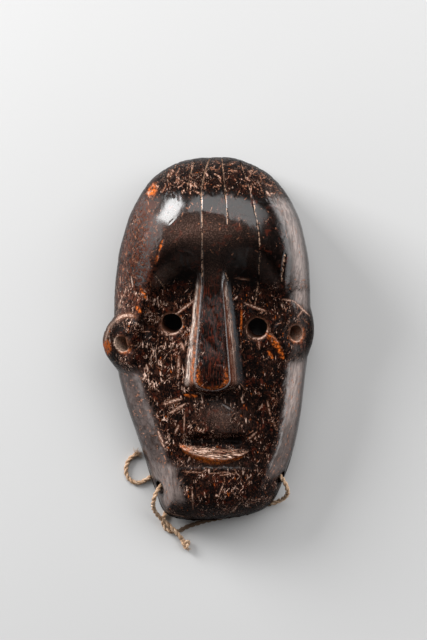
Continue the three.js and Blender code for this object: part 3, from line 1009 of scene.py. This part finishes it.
def mark_wear_and_painted_light(piece):
    skin = Skin(piece)
    x, y, across = skin.x, skin.y, skin.across
    cracks, pale, orange, flecks = drawn_wear_and_highlights(skin)
    bored, ear_walls, rubbed, orange_mouths, jaw_hole_shade = worn_holes(skin)
    lip, lip_chips = lip_wear_and_highlight(skin)
    out = nose_out(across, y)
    nose_rim = 0.85 * bell(out - 0.74, 0.1) * between(y, -22, -20, -15, -9)
    oranges = orange, orange_mouths, orange_spots(skin), nose_rim, 0.9 * lip_chips
    outside = {
        "tooling": tooled(x, y),
        "dusting": dusting(x, y),
        "band": skin.band,
        "sides": skin.sides,
        "temple": smooth(-x, 15, 27) * between(y, 8, 18, 50, 62),
        "painted_sheen": painted_sheen(skin),
        "lit_slope": painted_slope_light(x, y),
        "dull": dull_places(skin),
        "painted_shade": painted_shade_places(skin, jaw_hole_shade),
        "cracks": cracks,
        "flecks": flecks,
        # pale: chips, rubbed mouths, and painted highlights on the left ear's edge and the chin's lower
        # edge
        "pale": np.clip(pale + 1.1 * rubbed * (1 - bored) + lobe_edge(skin), 0, 1),
        "orange": np.maximum.reduce(oranges),
        "lip": lip,
        "lip_chips": lip_chips * bell(across + 1.5, 8),
        "nose_front": nose_front(across, y),
        "nose_edge": between(y, -23, -20, 22, 27),
        "nose_on": between(y, -18.5, -15, 18, 23.5),
    }
    anywhere = {
        "nose_across": np.clip(across / nose_half(y), -2, 2),
        "nose_out": np.clip(out, 0, 2),
        "crown": smooth(y, 52, 59),
        "bored": bored,
        "ear_bores": ear_walls * smooth(np.abs(across), 24, 26),
        "hollow": smooth(-skin.up, 0.0, 0.3) * (1 - skin.under_ear),
    }
    masks = {name: values * skin.outside for name, values in outside.items()} | anywhere
    for name, values in masks.items():
        point_mask(piece, name, values)


# Finishes

# The wood's own near-black, also laid as painted shade.
SOOT_AND_SHADE_BLACK = (0.0022, 0.0014, 0.0012)
DEEP_BROWN = (0.0085, 0.0038, 0.0027)
WARM_BROWN = (0.042, 0.0155, 0.0095)
RED_BROWN = (0.080, 0.0135, 0.0060)
WORN_ORANGE = (0.70, 0.150, 0.020)
BRIGHT_ORANGE = (0.95, 0.26, 0.045)
WORN_AND_LIT_TAN = (0.34, 0.185, 0.125)
FLANK_BROWN = (0.105, 0.068, 0.057)
TORN_BROWN = (0.115, 0.034, 0.018)
FLAKE_BROWN = (0.27, 0.115, 0.066)
CRACK_DUST = (0.62, 0.38, 0.26)
LIT_SLOPE_BROWN = (0.150, 0.086, 0.066)
BORE_BROWN = (0.085, 0.055, 0.042)
BORE_DUST_AND_LIGHT = (0.62, 0.44, 0.34)
DUST_AND_HIGHLIGHT_PALE = (0.88, 0.64, 0.52)
WAX_AND_SHEEN_GREY = (0.098, 0.071, 0.064)
SHEEN_BLUE_GREY = (0.105, 0.108, 0.114)
HIGHLIGHT_EDGE_GREY = (0.34, 0.33, 0.33)
HIGHLIGHT_WHITE = (0.90, 0.76, 0.67)
PAINTED_SHEEN_GREY = (0.38, 0.31, 0.285)


class Patina(Finish):
    """The carved wood's finish, with painted light and shade: its masks, its noises and the colours laid
    over each other.
    """

    def __init__(self):
        super().__init__("carved_wood_patina", SOOT_AND_SHADE_BLACK)
        self.dusting = self.mask("dusting")
        self.sides = self.mask("sides")
        self.hollow = self.mask("hollow")
        self.temple = self.mask("temple")
        self.on_front = self.mask("nose_front")
        self.blotches = self.noise(self.place, 7, 4, 0.6)
        self.mottle = self.noise(self.place, 1.5, 4, 0.62, 0.6)
        self.beads = self.noise(self.place, 0.7, 3, 0.7)
        self.ragged = self.grain(0, (1.6, 3.2, 1.6), (2, 9, 0), 4, distortion=0.5)
        self.fibres = self.grain(0, (0.45, 7, 0.45), (0, 0, 0), 4, 0.6)
        self.band = self.step(self.mask("band") + (self.ragged - 0.5) * 2.2, 0.25, 0.75)
        rough = self.step(self.mask("tooling") + (self.mottle - 0.5) * 1.6, 0.15, 0.8)
        self.tooling = rough * (1 - 0.94 * self.band)
        self.crack = self.step(self.mask("cracks"), 0.3, 0.85)
        self.broken = 0.5 + 0.5 * self.step(self.beads, 0.42, 0.56)
        self.fine_mottle = self.mottle * 0.5 + self.beads * 0.5
        self.lay_ground()
        self.lay_torn_wood()
        self.lay_marks()
        self.lay_nose()
        self.lay_lip_and_edges()
        self.lay_cracks_and_holes()
        self.set_surface()

    def lay_ground(self):
        """Nearly black, browner in blotches and along the grain, with a waxy grey bloom and painted sheen
        on the sides, painted light on the slopes and painted shade on the crown.
        """
        self.lay(DEEP_BROWN, self.step(self.mottle, 0.40, 0.66))
        warmth = 0.3 + 0.7 * self.step(self.dusting, 0.2, 0.7)
        patches = self.step(self.blotches * 0.55 + self.mottle * 0.45, 0.48, 0.62)
        self.lay(WARM_BROWN, patches * 0.75 * warmth)
        red = self.step(self.noise(self.place, 3.2, 4, 0.65, 0.5), 0.55, 0.68)
        self.lay(RED_BROWN, red * 0.8 * (1 - self.sides * 0.6))
        self.lay(RED_BROWN, self.step(self.fibres, 0.48, 0.66) * self.on_front * 0.8)
        self.lay(SOOT_AND_SHADE_BLACK, self.step(self.fibres, 0.49, 0.42) * self.on_front * 0.9)
        # the sides: a waxy grey bloom that is partly painted sheen
        self.lay(WAX_AND_SHEEN_GREY, self.sides * (0.35 + 0.5 * self.step(self.mottle, 0.3, 0.62)))
        self.lay(DEEP_BROWN, self.sides * self.step(self.blotches, 0.50, 0.60) * 0.55)
        # painted sheen: streaky pale grey along the right side and on the chin's left corner
        sheen_share = self.step(self.grain(0, (1.1, 6, 1.1), (3, 1, 0), 4, distortion=0.6), 0.40, 0.60)
        self.lay(PAINTED_SHEEN_GREY, self.mask("painted_sheen") * (0.4 + 0.6 * sheen_share))
        self.lay(TORN_BROWN, self.temple * self.step(self.fine_mottle, 0.45, 0.56) * 0.9)
        # painted light: lighter brown with fine dots on the slopes
        dots = self.step(self.noise(self.place, 0.5, 2, 0.7), 0.5, 0.62)
        self.lay(LIT_SLOPE_BROWN, self.mask("lit_slope") * (0.3 + 0.7 * dots))
        # painted shade: the crown's top darkened
        self.lay(SOOT_AND_SHADE_BLACK, self.mask("crown") * 0.55)

    def lay_torn_wood(self):
        """Red-brown scales, black gaps, then flakes in three directions with pale dust on them."""
        scales = self.step(self.grain(-9, (0.8, 1.5, 0.8), (9, 2, 0), distortion=1.8), 0.54, 0.62)
        self.lay(TORN_BROWN, scales * self.tooling * (0.2 + 0.5 * self.dusting))
        clusters = self.step(self.noise(self.place, 4.0, 3, 0.6), 0.38, 0.58)
        thick = (self.dusting - 0.95) * 0.12 + (clusters - 0.6) * 0.13
        rows = (
            (self.grain(5, (0.5, 4.6, 0.5), (1, 7, 0), 2.5, distortion=0.45), 0.565),
            (self.grain(-38, (0.46, 3.4, 0.46), (4, 1, 0), 2, distortion=0.5), 0.60),
            (self.grain(62, (0.46, 3.2, 0.46), (8, 3, 0), 2, distortion=0.5), 0.625),
        )
        flakes = sum(self.step(row + thick, low, low + 0.04) for row, low in rows)
        dust = sum(self.step(row + thick, low + 0.035, low + 0.08) for row, low in rows)
        self.flakes = self.step(flakes * self.tooling, 0.1, 0.8)
        self.dust = self.step(dust * self.tooling, 0.1, 0.8)
        gaps = self.step(self.grain(3, (1.1, 2.6, 1.1), (2, 2, 0), 3, 0.6, 0.8), 0.50, 0.57)
        self.lay(SOOT_AND_SHADE_BLACK, gaps * self.tooling * 0.9)
        self.lay(FLAKE_BROWN, self.flakes * (1 - 0.5 * gaps))
        self.lay(DUST_AND_HIGHLIGHT_PALE, self.dust * self.broken * (1 - 0.5 * gaps))

    def lay_marks(self):
        """The flecks and pale lines drawn on the mask; some pale lines are painted highlights."""
        flecks = self.mask("flecks") * self.step(self.beads, 0.42, 0.58)
        self.lay(FLAKE_BROWN, self.step(flecks, 0.1, 0.4))
        self.lay(DUST_AND_HIGHLIGHT_PALE, self.step(flecks, 0.45, 0.7) * (0.4 + 0.6 * self.dusting))
        pale = self.mask("pale") * self.step(self.beads, 0.34, 0.52)
        self.lay(FLAKE_BROWN, pale * 0.9)
        self.lay(DUST_AND_HIGHLIGHT_PALE, self.step(pale, 0.55, 1.0) * 0.6)

    def lay_nose(self):
        """Strips down the nose's flanks, partly worn paler wood and partly painted highlights and sheen,
        and a painted highlight along the nose's outline. Places across it run from -1 to 1 at its edges.
        """
        waver = self.grain(0, (0.9, 4.0, 0.9), (6, 2, 0), 4, 0.7)
        place = self.mask("nose_across") + (waver - 0.5) * 0.45
        on_nose = self.mask("nose_on")

        def strip(start, end, edge=0.06):
            inside = self.step(place, start - edge, start + edge)
            return inside * (1 - self.step(place, end - edge, end + edge)) * on_nose

        streaks = self.grain(2, (0.62, 10, 0.62), (5, 1, 0), 3, 0.7)
        upper = self.step(self.along("Y"), -11, 9)
        patches = self.step(self.noise(self.place, 1.7, 3, 0.65), 0.36, 0.58)
        self.lay(FLANK_BROWN, strip(-1.42, -0.92) * 0.85)
        self.lay(TORN_BROWN, strip(0.92, 1.24) * 0.7)
        # painted grey-blue sheen beside the right flank
        self.lay(SHEEN_BLUE_GREY, strip(1.24, 1.6, 0.12) * (0.3 + 0.5 * upper))
        # worn paler wood on both flanks, partly painted light
        both = strip(-1.42, -0.92) * 0.9 + strip(1.06, 1.36) * (0.3 + 0.6 * upper)
        self.lay(WORN_AND_LIT_TAN, both * self.step(streaks, 0.47, 0.54))
        # painted highlight lines down both flanks
        drawn_out = self.step(streaks, 0.42, 0.52) * (0.45 + 0.5 * patches)
        self.lay(HIGHLIGHT_WHITE, strip(-1.34, -1.18) * drawn_out)
        dotted = self.step(streaks, 0.48, 0.58) * self.broken
        self.lay(HIGHLIGHT_WHITE, strip(1.1, 1.26) * dotted * (0.15 + 0.85 * upper))
        rusty = self.step(self.mottle, 0.45, 0.56) * (1 - 0.6 * upper)
        self.lay(WORN_ORANGE, strip(-1.12, -0.98) * rusty * 0.65)
        # a thin painted highlight at the front's left edge
        self.lay(SHEEN_BLUE_GREY, strip(-0.88, -0.8, 0.03) * 0.5)
        # a painted highlight along the nose's outline
        out = self.mask("nose_out")
        outline = self.step(out, 0.86, 0.9) * (1 - self.step(out, 0.92, 0.97)) * self.mask("nose_edge")
        self.lay(HIGHLIGHT_EDGE_GREY, outline * (0.35 + 0.5 * self.step(self.beads, 0.42, 0.58)))

    def lay_lip_and_edges(self):
        """The lip, pale with wear and a painted highlight, bare orange wood where edges are rubbed, and
        painted shade in the deep places.
        """
        streaks = self.grain(-6, (3.4, 0.5, 0.5), (5, 1, 0), distortion=0.4)
        lip = self.mask("lip")
        # the lip's top: worn pale streaks, partly a painted highlight
        self.lay(WORN_AND_LIT_TAN, lip * self.step(streaks, 0.43, 0.54) * 0.9)
        self.lay(DUST_AND_HIGHLIGHT_PALE, lip * self.step(streaks, 0.55, 0.62))
        worn = self.step(self.grain(12, (1.2, 2.88, 1.2), (7, 3, 0), 4, 0.6), 0.65, 0.74)
        self.lay(WORN_ORANGE, worn * self.step(self.tooling, 0.5, 0.9) * 0.85)
        warm = self.step(self.noise(self.place, 1.1, 3, 0.65), 0.44, 0.60)
        self.lay(WORN_ORANGE, self.mask("orange") * (0.08 + 0.92 * warm))
        self.lay(BRIGHT_ORANGE, self.mask("lip_chips") * self.step(self.beads, 0.45, 0.6) * 0.7)
        # painted shade in the sockets, the slit, under the nose, round the jaw holes and along the edges
        self.lay(SOOT_AND_SHADE_BLACK, self.mask("painted_shade") * 0.9)

    def lay_cracks_and_holes(self):
        filled = self.step(self.grain(0, (0.5, 1.1, 0.5)), 0.44, 0.56)
        self.lay(DEEP_BROWN, self.crack * 0.6)
        self.lay(CRACK_DUST, self.crack * filled)
        self.lay(BORE_BROWN, self.mask("bored") * 0.8)
        # the ear bores' outer walls: dust and painted light
        self.lay(BORE_DUST_AND_LIGHT, self.mask("ear_bores") * (0.45 + 0.55 * self.step(self.beads, 0.4, 0.6)))
        self.lay(WARM_BROWN, self.hollow * 0.6)

    def set_surface(self):
        """Glossy where handling has polished the wood, rough and dull where it is torn."""
        roughness = 0.22 + 0.08 * self.tooling + 0.10 * self.step(self.mottle, 0.4, 0.7)
        roughness = roughness + 0.35 * self.hollow + 0.3 * self.crack + 0.2 * self.dust * self.tooling
        chips = self.grain(6, (1.0, 1.6, 1.0), (3, 5, 0), 2.5, 0.55, 1.6)
        fine = self.bump(self.fibres, 0.2, 0.10 * MM)
        torn = self.bump((chips + 0.5 * self.flakes) * self.tooling, 1.0, 0.9 * MM, fine)
        polish = (1 - 0.95 * self.tooling) * (1 - 0.85 * self.mask("dull")) * (1 - 0.8 * self.on_front)
        polish = polish * (1 - self.band * (0.2 + 0.6 * self.step(self.ragged, 0.38, 0.62)))
        polish = polish * (1 - self.temple * (0.15 + 0.8 * self.step(self.fine_mottle, 0.45, 0.53)))
        self.finish_with(
            Roughness=self.step(roughness, 0, 1),
            Normal=torn,
            Coat_Weight=polish * (1 - self.hollow),
            Coat_Roughness=0.18,
            Specular_IOR_Level=0.02,
        )


# Lacing cord: two plies twisted together, on the route of the part's source

CORD = 1.75
PLY_TURN = 4.4  # one full turn of the twist
PLY_SIDES = 14
PLY_STEP = 0.33
CORD_ROUTE = (
    (-28.0, -44.7, 0.9),
    (-30.2, -46.3, 0.9),
    (-31.5, -48.9, 0.9),
    (-31.6, -52.0, 0.9),
    (-29.9, -54.7, 0.9),
    (-27.0, -55.6, 0.9),
    (-23.6, -54.2, 0.9),
    (-16.6, -48.8, 0.9),
    (-8.0, -44.0, 0.9),
    (2.0, -41.4, 0.9),
    (11.0, -40.8, 0.9),
    (16.6, -41.6, 0.9),
    (20.4, -43.7, 1.0),
    (22.9, -46.5, 1.9),
    (24.3, -48.5, 3.5),
    (25.4, -49.8, 5.2),
    (26.6, -51.3, 7.1),
    (27.8, -52.8, 9.0),
    (28.6, -53.8, 10.1),
    (29.4, -55.1, 10.8),
    (30.1, -56.5, 10.8),
    (30.5, -57.9, 10.1),
    (30.6, -59.0, 8.9),
    (30.3, -60.0, 7.3),
    (29.6, -61.0, 5.5),
    (28.3, -62.0, 3.8),
    (26.2, -63.0, 2.3),
    (23.6, -63.8, 1.4),
    (21.4, -64.4, 1.05),
    (19.2, -64.7, 0.9),
    (15.0, -66.2, 0.9),
    (6.0, -68.8, 0.9),
    (-2.0, -70.6, 0.9),
    (-8.2, -72.6, 0.9),
    (-12.0, -74.4, 0.9),
    (-16.0, -73.6, 0.9),
    (-17.4, -69.8, 0.9),
    (-15.2, -65.4, 0.9),
    (-11.6, -60.4, 0.9),
    (-8.7, -56.3, 0.9),
    (-7.3, -53.8, 0.9),
    (-6.6, -51.5, 0.9),
    (-7.0, -49.4, 0.95),
    (-8.5, -48.0, 1.1),
    (-10.4, -47.9, 1.5),
    (-12.0, -49.1, 2.4),
    (-13.3, -50.6, 3.7),
    (-14.7, -52.2, 5.6),
    (-16.1, -54.0, 7.8),
    (-17.5, -55.7, 9.9),
    (-18.8, -57.3, 11.7),
    (-19.6, -58.5, 12.6),
    (-20.3, -59.9, 13.0),
    (-20.8, -61.4, 12.7),
    (-21.1, -62.7, 11.7),
    (-21.2, -63.8, 10.2),
    (-21.1, -64.9, 8.4),
    (-20.7, -66.1, 6.5),
    (-19.9, -67.4, 4.9),
    (-18.7, -68.8, 3.8),
    (-17.1, -70.3, 3.2),
    (-14.8, -72.2, 2.85),
    (-12.2, -74.8, 2.75),
    (-10.2, -77.2, 1.9),
)
KNOT = (-8.6, -79.2, 1.6)
KNOT_SIZE = (3.6, 4.4, 3.2)
KNOT_CORE = ((-10.1, -77.4, 1.75), (-8.1, -80.5, 1.5))
KNOT_TIP = (-8.0, -80.9, 1.5)
KNOT_TIP_TURN = math.radians(-62)
FRAY_FIBRES = 46
FUZZ_FIBRES = 150
TIP_FIBRES = 16


def smooth_route(stops, step):
    """Points a step apart on a centripetal Catmull-Rom curve through the stops."""
    stops = np.array(stops, float)
    ends = np.vstack([2 * stops[0] - stops[1], stops, 2 * stops[-1] - stops[-2]])
    fine = []
    for p0, p1, p2, p3 in zip(ends, ends[1:], ends[2:], ends[3:]):
        t1 = np.linalg.norm(p1 - p0) ** 0.5
        t2 = t1 + np.linalg.norm(p2 - p1) ** 0.5
        t3 = t2 + np.linalg.norm(p3 - p2) ** 0.5
        t = np.linspace(t1, t2, 30, endpoint=False)[:, None]
        a1 = (t1 - t) / t1 * p0 + t / t1 * p1
        a2 = (t2 - t) / (t2 - t1) * p1 + (t - t1) / (t2 - t1) * p2
        a3 = (t3 - t) / (t3 - t2) * p2 + (t - t2) / (t3 - t2) * p3
        b1 = (t2 - t) / t2 * a1 + t / t2 * a2
        b2 = (t3 - t) / (t3 - t1) * a2 + (t - t1) / (t3 - t1) * a3
        fine.append((t2 - t) / (t2 - t1) * b1 + (t - t1) / (t2 - t1) * b2)
    fine = np.vstack([*fine, stops[-1:]])
    far = np.concatenate([[0], np.cumsum(np.linalg.norm(np.diff(fine, axis=0), axis=1))])
    at = np.linspace(0, far[-1], round(far[-1] / step) + 1)
    return np.stack([np.interp(at, far, fine[:, axis]) for axis in range(3)], 1), at


def carried_frame(path):
    """Two directions across the path at each of its points, carried along without twist."""
    ahead = np.gradient(path, axis=0)
    ahead /= np.linalg.norm(ahead, axis=1, keepdims=True)
    first = np.cross(ahead[0], (0, 0, 1.0))
    if np.linalg.norm(first) < 0.1:
        first = np.cross(ahead[0], (1.0, 0, 0))
    across = [first / np.linalg.norm(first)]
    for direction in ahead[1:]:
        side = across[-1] - direction * (across[-1] @ direction)
        across.append(side / np.linalg.norm(side))
    across = np.array(across)
    return across, np.cross(ahead, across)


class Strands:
    """Tubes joined into one mesh, with what the fibre finish needs at each point."""

    def __init__(self):
        self.points = []
        self.faces = []
        self.along = []
        self.cosine = []
        self.sine = []
        self.count = 0

    def tube(self, path, radius, sides, lumps=0.0, phase=0.0):
        across, over = carried_frame(path)
        angle = np.arange(sides) * 2 * math.pi / sides
        size = np.broadcast_to(radius, len(path))[:, None] * np.ones(sides)
        far = np.concatenate([[0], np.cumsum(np.linalg.norm(np.diff(path, axis=0), axis=1))])
        waves = np.sin(far[:, None] * 2.1 + 3 * angle + phase) * np.sin(far[:, None] * 0.63 + phase)
        size = size * (1 + lumps * waves)
        ring = across[:, None] * np.cos(angle)[:, None] + over[:, None] * np.sin(angle)[:, None]
        points = path[:, None] + ring * size[..., None]
        index = self.count + np.arange(points.shape[0] * sides).reshape(-1, sides)
        turned = np.roll(index, -1, axis=1)
        quads = np.stack([index[:-1], turned[:-1], turned[1:], index[1:]], -1).reshape(-1, 4)
        self.faces += quads.tolist() + [index[0][::-1].tolist(), index[-1].tolist()]
        self.points.append(points.reshape(-1, 3))
        self.along.append(np.repeat(far + phase, sides))
        self.cosine.append(np.tile(np.cos(angle), len(path)))
        self.sine.append(np.tile(np.sin(angle), len(path)))
        self.count += points.shape[0] * sides

    def piece(self, name):
        made = mesh_piece(name, np.concatenate(self.points), self.faces)
        for mask, values in (("along", self.along), ("cosine", self.cosine), ("sine", self.sine)):
            point_mask(made, mask, np.concatenate(values))
        return made


def twisted_plies(path, far):
    """The two plies' own paths round the cord's path."""
    across, over = carried_frame(path)
    plies = []
    for phase in (0, math.pi):
        turn = (far / PLY_TURN * 2 * math.pi + phase)[:, None]
        plies.append(path + CORD * 0.22 * (across * np.cos(turn) + over * np.sin(turn)))
    return plies


def make_cord():
    path, far = smooth_route(CORD_ROUTE, PLY_STEP)
    strands = Strands()
    for number, ply in enumerate(twisted_plies(path, far)):
        strands.tube(ply, CORD * 0.29, PLY_SIDES, 0.06, number * 1.7)
    cord = strands.piece("laced_cord")
    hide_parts("lacing_cord")
    return cord, path, float(far[-1])


def make_knot():
    """An overhand knot pulled tight: a trefoil of cord, squeezed into its lump."""
    turn = np.linspace(0, 2 * math.pi, 120)
    trefoil = np.stack([
        np.sin(turn) + 2 * np.sin(2 * turn),
        np.cos(turn) - 2 * np.cos(2 * turn),
        -np.sin(3 * turn) * 1.35,
    ], 1)
    radius = 0.62
    reach = np.array(KNOT_SIZE) / 2 - radius
    path = np.array(KNOT) + trefoil / np.abs(trefoil).max(0) * reach
    strands = Strands()
    strands.tube(path, radius * 0.92, 16, 0.08, 0.4)
    strands.tube(np.linspace(*KNOT_CORE, 12), 0.85, 14, 0.05, 2.0)
    knot = strands.piece("tied_knot")
    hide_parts("cord_knot")
    return knot


def loose_fibre(start, direction, length, droop, curl):
    share = np.linspace(0, 1, 9)[:, None]
    direction = np.array(direction, float)
    direction /= np.linalg.norm(direction)
    side = np.cross(direction, (0, 0, 1.0))
    side /= max(1e-6, np.linalg.norm(side))
    path = np.array(start) + direction * length * share + side * curl * share**2
    path[:, 2] -= droop * share[:, 0] ** 2
    path[:, 2] = np.maximum(path[:, 2], 0.12)
    return path


def make_fray():
    """The cord's frayed start: its fibres spread and lie down, and some stand off along it."""
    strands = Strands()
    start = np.array(CORD_ROUTE[0])
    ahead = start - np.array(CORD_ROUTE[1])
    heading = math.atan2(ahead[1], ahead[0])
    for _ in range(FRAY_FIBRES):
        turn = heading + random.normal(0, 0.42)
        rise = random.normal(0, 0.25)
        place = start + random.normal(0, 0.33, 3)
        place[2] = max(0.35, place[2])
        direction = (math.cos(turn), math.sin(turn), rise)
        length, droop, curl = random.uniform(1.2, 3.6), random.uniform(0, 0.6), random.normal(0, 0.7)
        fibre = loose_fibre(place - np.array(direction) * 0.5, direction, length, droop, curl)
        strands.tube(fibre, np.linspace(0.13, 0.04, len(fibre)), 5)
    return strands.piece("frayed_end")


def make_fuzz(path):
    """Fine fibres standing off the cord and the knot's cut tip."""
    strands = Strands()
    inside = (path[:, 1] > -50) & (path[:, 0] > -24)
    for index in random.integers(4, len(path) - 6, FUZZ_FIBRES):
        if inside[index]:
            continue
        ahead = path[index + 1] - path[index]
        ahead /= np.linalg.norm(ahead)
        side = np.cross(ahead, random.normal(0, 1, 3))
        side /= np.linalg.norm(side)
        direction = side + ahead * random.choice((-1, 1)) * random.uniform(0.6, 1.8)
        length, curl = random.uniform(0.5, 1.3), random.normal(0, 0.3)
        fibre = loose_fibre(path[index] + side * 0.7, direction, length, 0.1, curl)
        strands.tube(fibre, np.linspace(0.05, 0.02, len(fibre)), 4)
    for _ in range(TIP_FIBRES):
        turn = KNOT_TIP_TURN + random.normal(0, 0.8)
        direction = (math.cos(turn), math.sin(turn), random.normal(0, 0.4))
        start = KNOT_TIP + random.normal(0, 0.3, 3)
        fibre = loose_fibre(start, direction, random.uniform(0.5, 1.2), 0.2, random.normal(0, 0.3))
        strands.tube(fibre, np.linspace(0.08, 0.03, len(fibre)), 4)
    return strands.piece("loose_fibres")


TWINE_DARK = (0.19, 0.10, 0.05)
TWINE_TAN = (0.62, 0.41, 0.26)
TWINE_PALE = (0.92, 0.76, 0.58)
SHADED_TWINE_BROWN = (0.032, 0.017, 0.010)


def shade_under_chin(twine):
    """Painted shade on the strand that shows under the chin."""
    x, y, z = (twine.along(axis) for axis in "XYZ")
    down = -1 * y
    stretch = twine.step(down, 61, 64) * (1 - twine.step(down, 74.5, 75.5))
    return stretch * twine.step(x, -15, -11) * (1 - twine.step(z, 1.9, 2.3))


def twine_finish():
    twine = Finish("plant_fibre_twine", TWINE_DARK)
    cosine, sine, along = (twine.mask(name) for name in ("cosine", "sine", "along"))
    round_ply = twine.node("CombineXYZ", {}, {"X": cosine * 2.6, "Y": sine * 2.6, "Z": along * 0.55})
    fibres = twine.noise(round_ply, 0.55, 3, 0.65)
    tone = twine.noise(twine.place, 2.2, 3, 0.6)
    twine.lay(TWINE_TAN, twine.step(fibres, 0.32, 0.66))
    twine.lay(TWINE_PALE, twine.step(fibres * 0.6 + tone * 0.4, 0.5, 0.7))
    # painted shade on the strand under the chin
    twine.lay(SHADED_TWINE_BROWN, shade_under_chin(twine) * 0.85)
    strands = twine.bump(fibres, 0.7, 0.12 * MM)
    twine.finish_with(Roughness=0.86, Normal=strands, Specular_IOR_Level=0.3)
    return twine


# Floor and lights. Their sizes and distances are in metres.

PAPER_GREY = (0.55, 0.55, 0.55)
FLOOR_REACH = 4
LIT_PLACE = (2, 5, 20)  # in millimetres
SKY_STRENGTH = 0.05


def make_floor():
    mesh = bpy.data.meshes.new("floor")
    corners = [(x * FLOOR_REACH, y * FLOOR_REACH, 0) for x, y in ((-1, -1), (1, -1), (1, 1), (-1, 1))]
    mesh.from_pydata(corners, [], [(0, 1, 2, 3)])
    floor = placed("floor", mesh)
    paper = Finish("pale_paper", PAPER_GREY)
    paper.finish_with(Roughness=0.9, Specular_IOR_Level=0.1)
    paper.wear(floor)


def softbox(name, towards, distance, size, watts):
    """A rectangular light in a direction from the mask's middle, facing it."""
    light = bpy.data.lights.new(name, "AREA")
    light.shape = "RECTANGLE"
    light.size, light.size_y = size
    light.energy = watts
    direction = Vector(towards).normalized()
    stand = placed(name, light)
    stand.location = Vector(LIT_PLACE) * MM + direction * distance
    stand.rotation_euler = direction.to_track_quat("Z", "Y").to_euler()


def aim(turn, rise):
    """A direction by its angle from +X about +Z and its angle above the floor, in degrees."""
    turn, rise = math.radians(turn), math.radians(rise)
    return math.cos(turn) * math.cos(rise), math.sin(turn) * math.cos(rise), math.sin(rise)


def make_lights():
    softbox("key_upper_left", aim(143, 23), 1.0, (0.47, 0.47), 14)
    softbox("top_fill", aim(64, 53), 1.2, (1.9, 0.84), 17)
    softbox("right_strip", aim(-2, 6), 0.36, (0.7, 0.07), 1.1)
    softbox("left_strip", aim(182, 12), 0.5, (0.6, 0.2), 1.1)
    world = bpy.data.worlds.new("studio")
    bpy.context.scene.world = world
    world.use_nodes = True
    sky = world.node_tree.nodes["Background"]
    sky.inputs["Color"].default_value = (1, 1, 1, 1)
    sky.inputs["Strength"].default_value = SKY_STRENGTH


make_floor()
make_lights()
bpy.context.scene.view_settings.view_transform = "Standard"

cord, cord_path, cord_length = make_cord()
knot = make_knot()
fray = make_fray()
fuzz = make_fuzz(cord_path)
twine = twine_finish()
for strand in (cord, knot, fray, fuzz):
    twine.wear(strand)
tuple(cord_path[0] * MM)
cord_length * MM
(cord_path * MM).tolist()

mask = make_mask()
Patina().wear(mask)
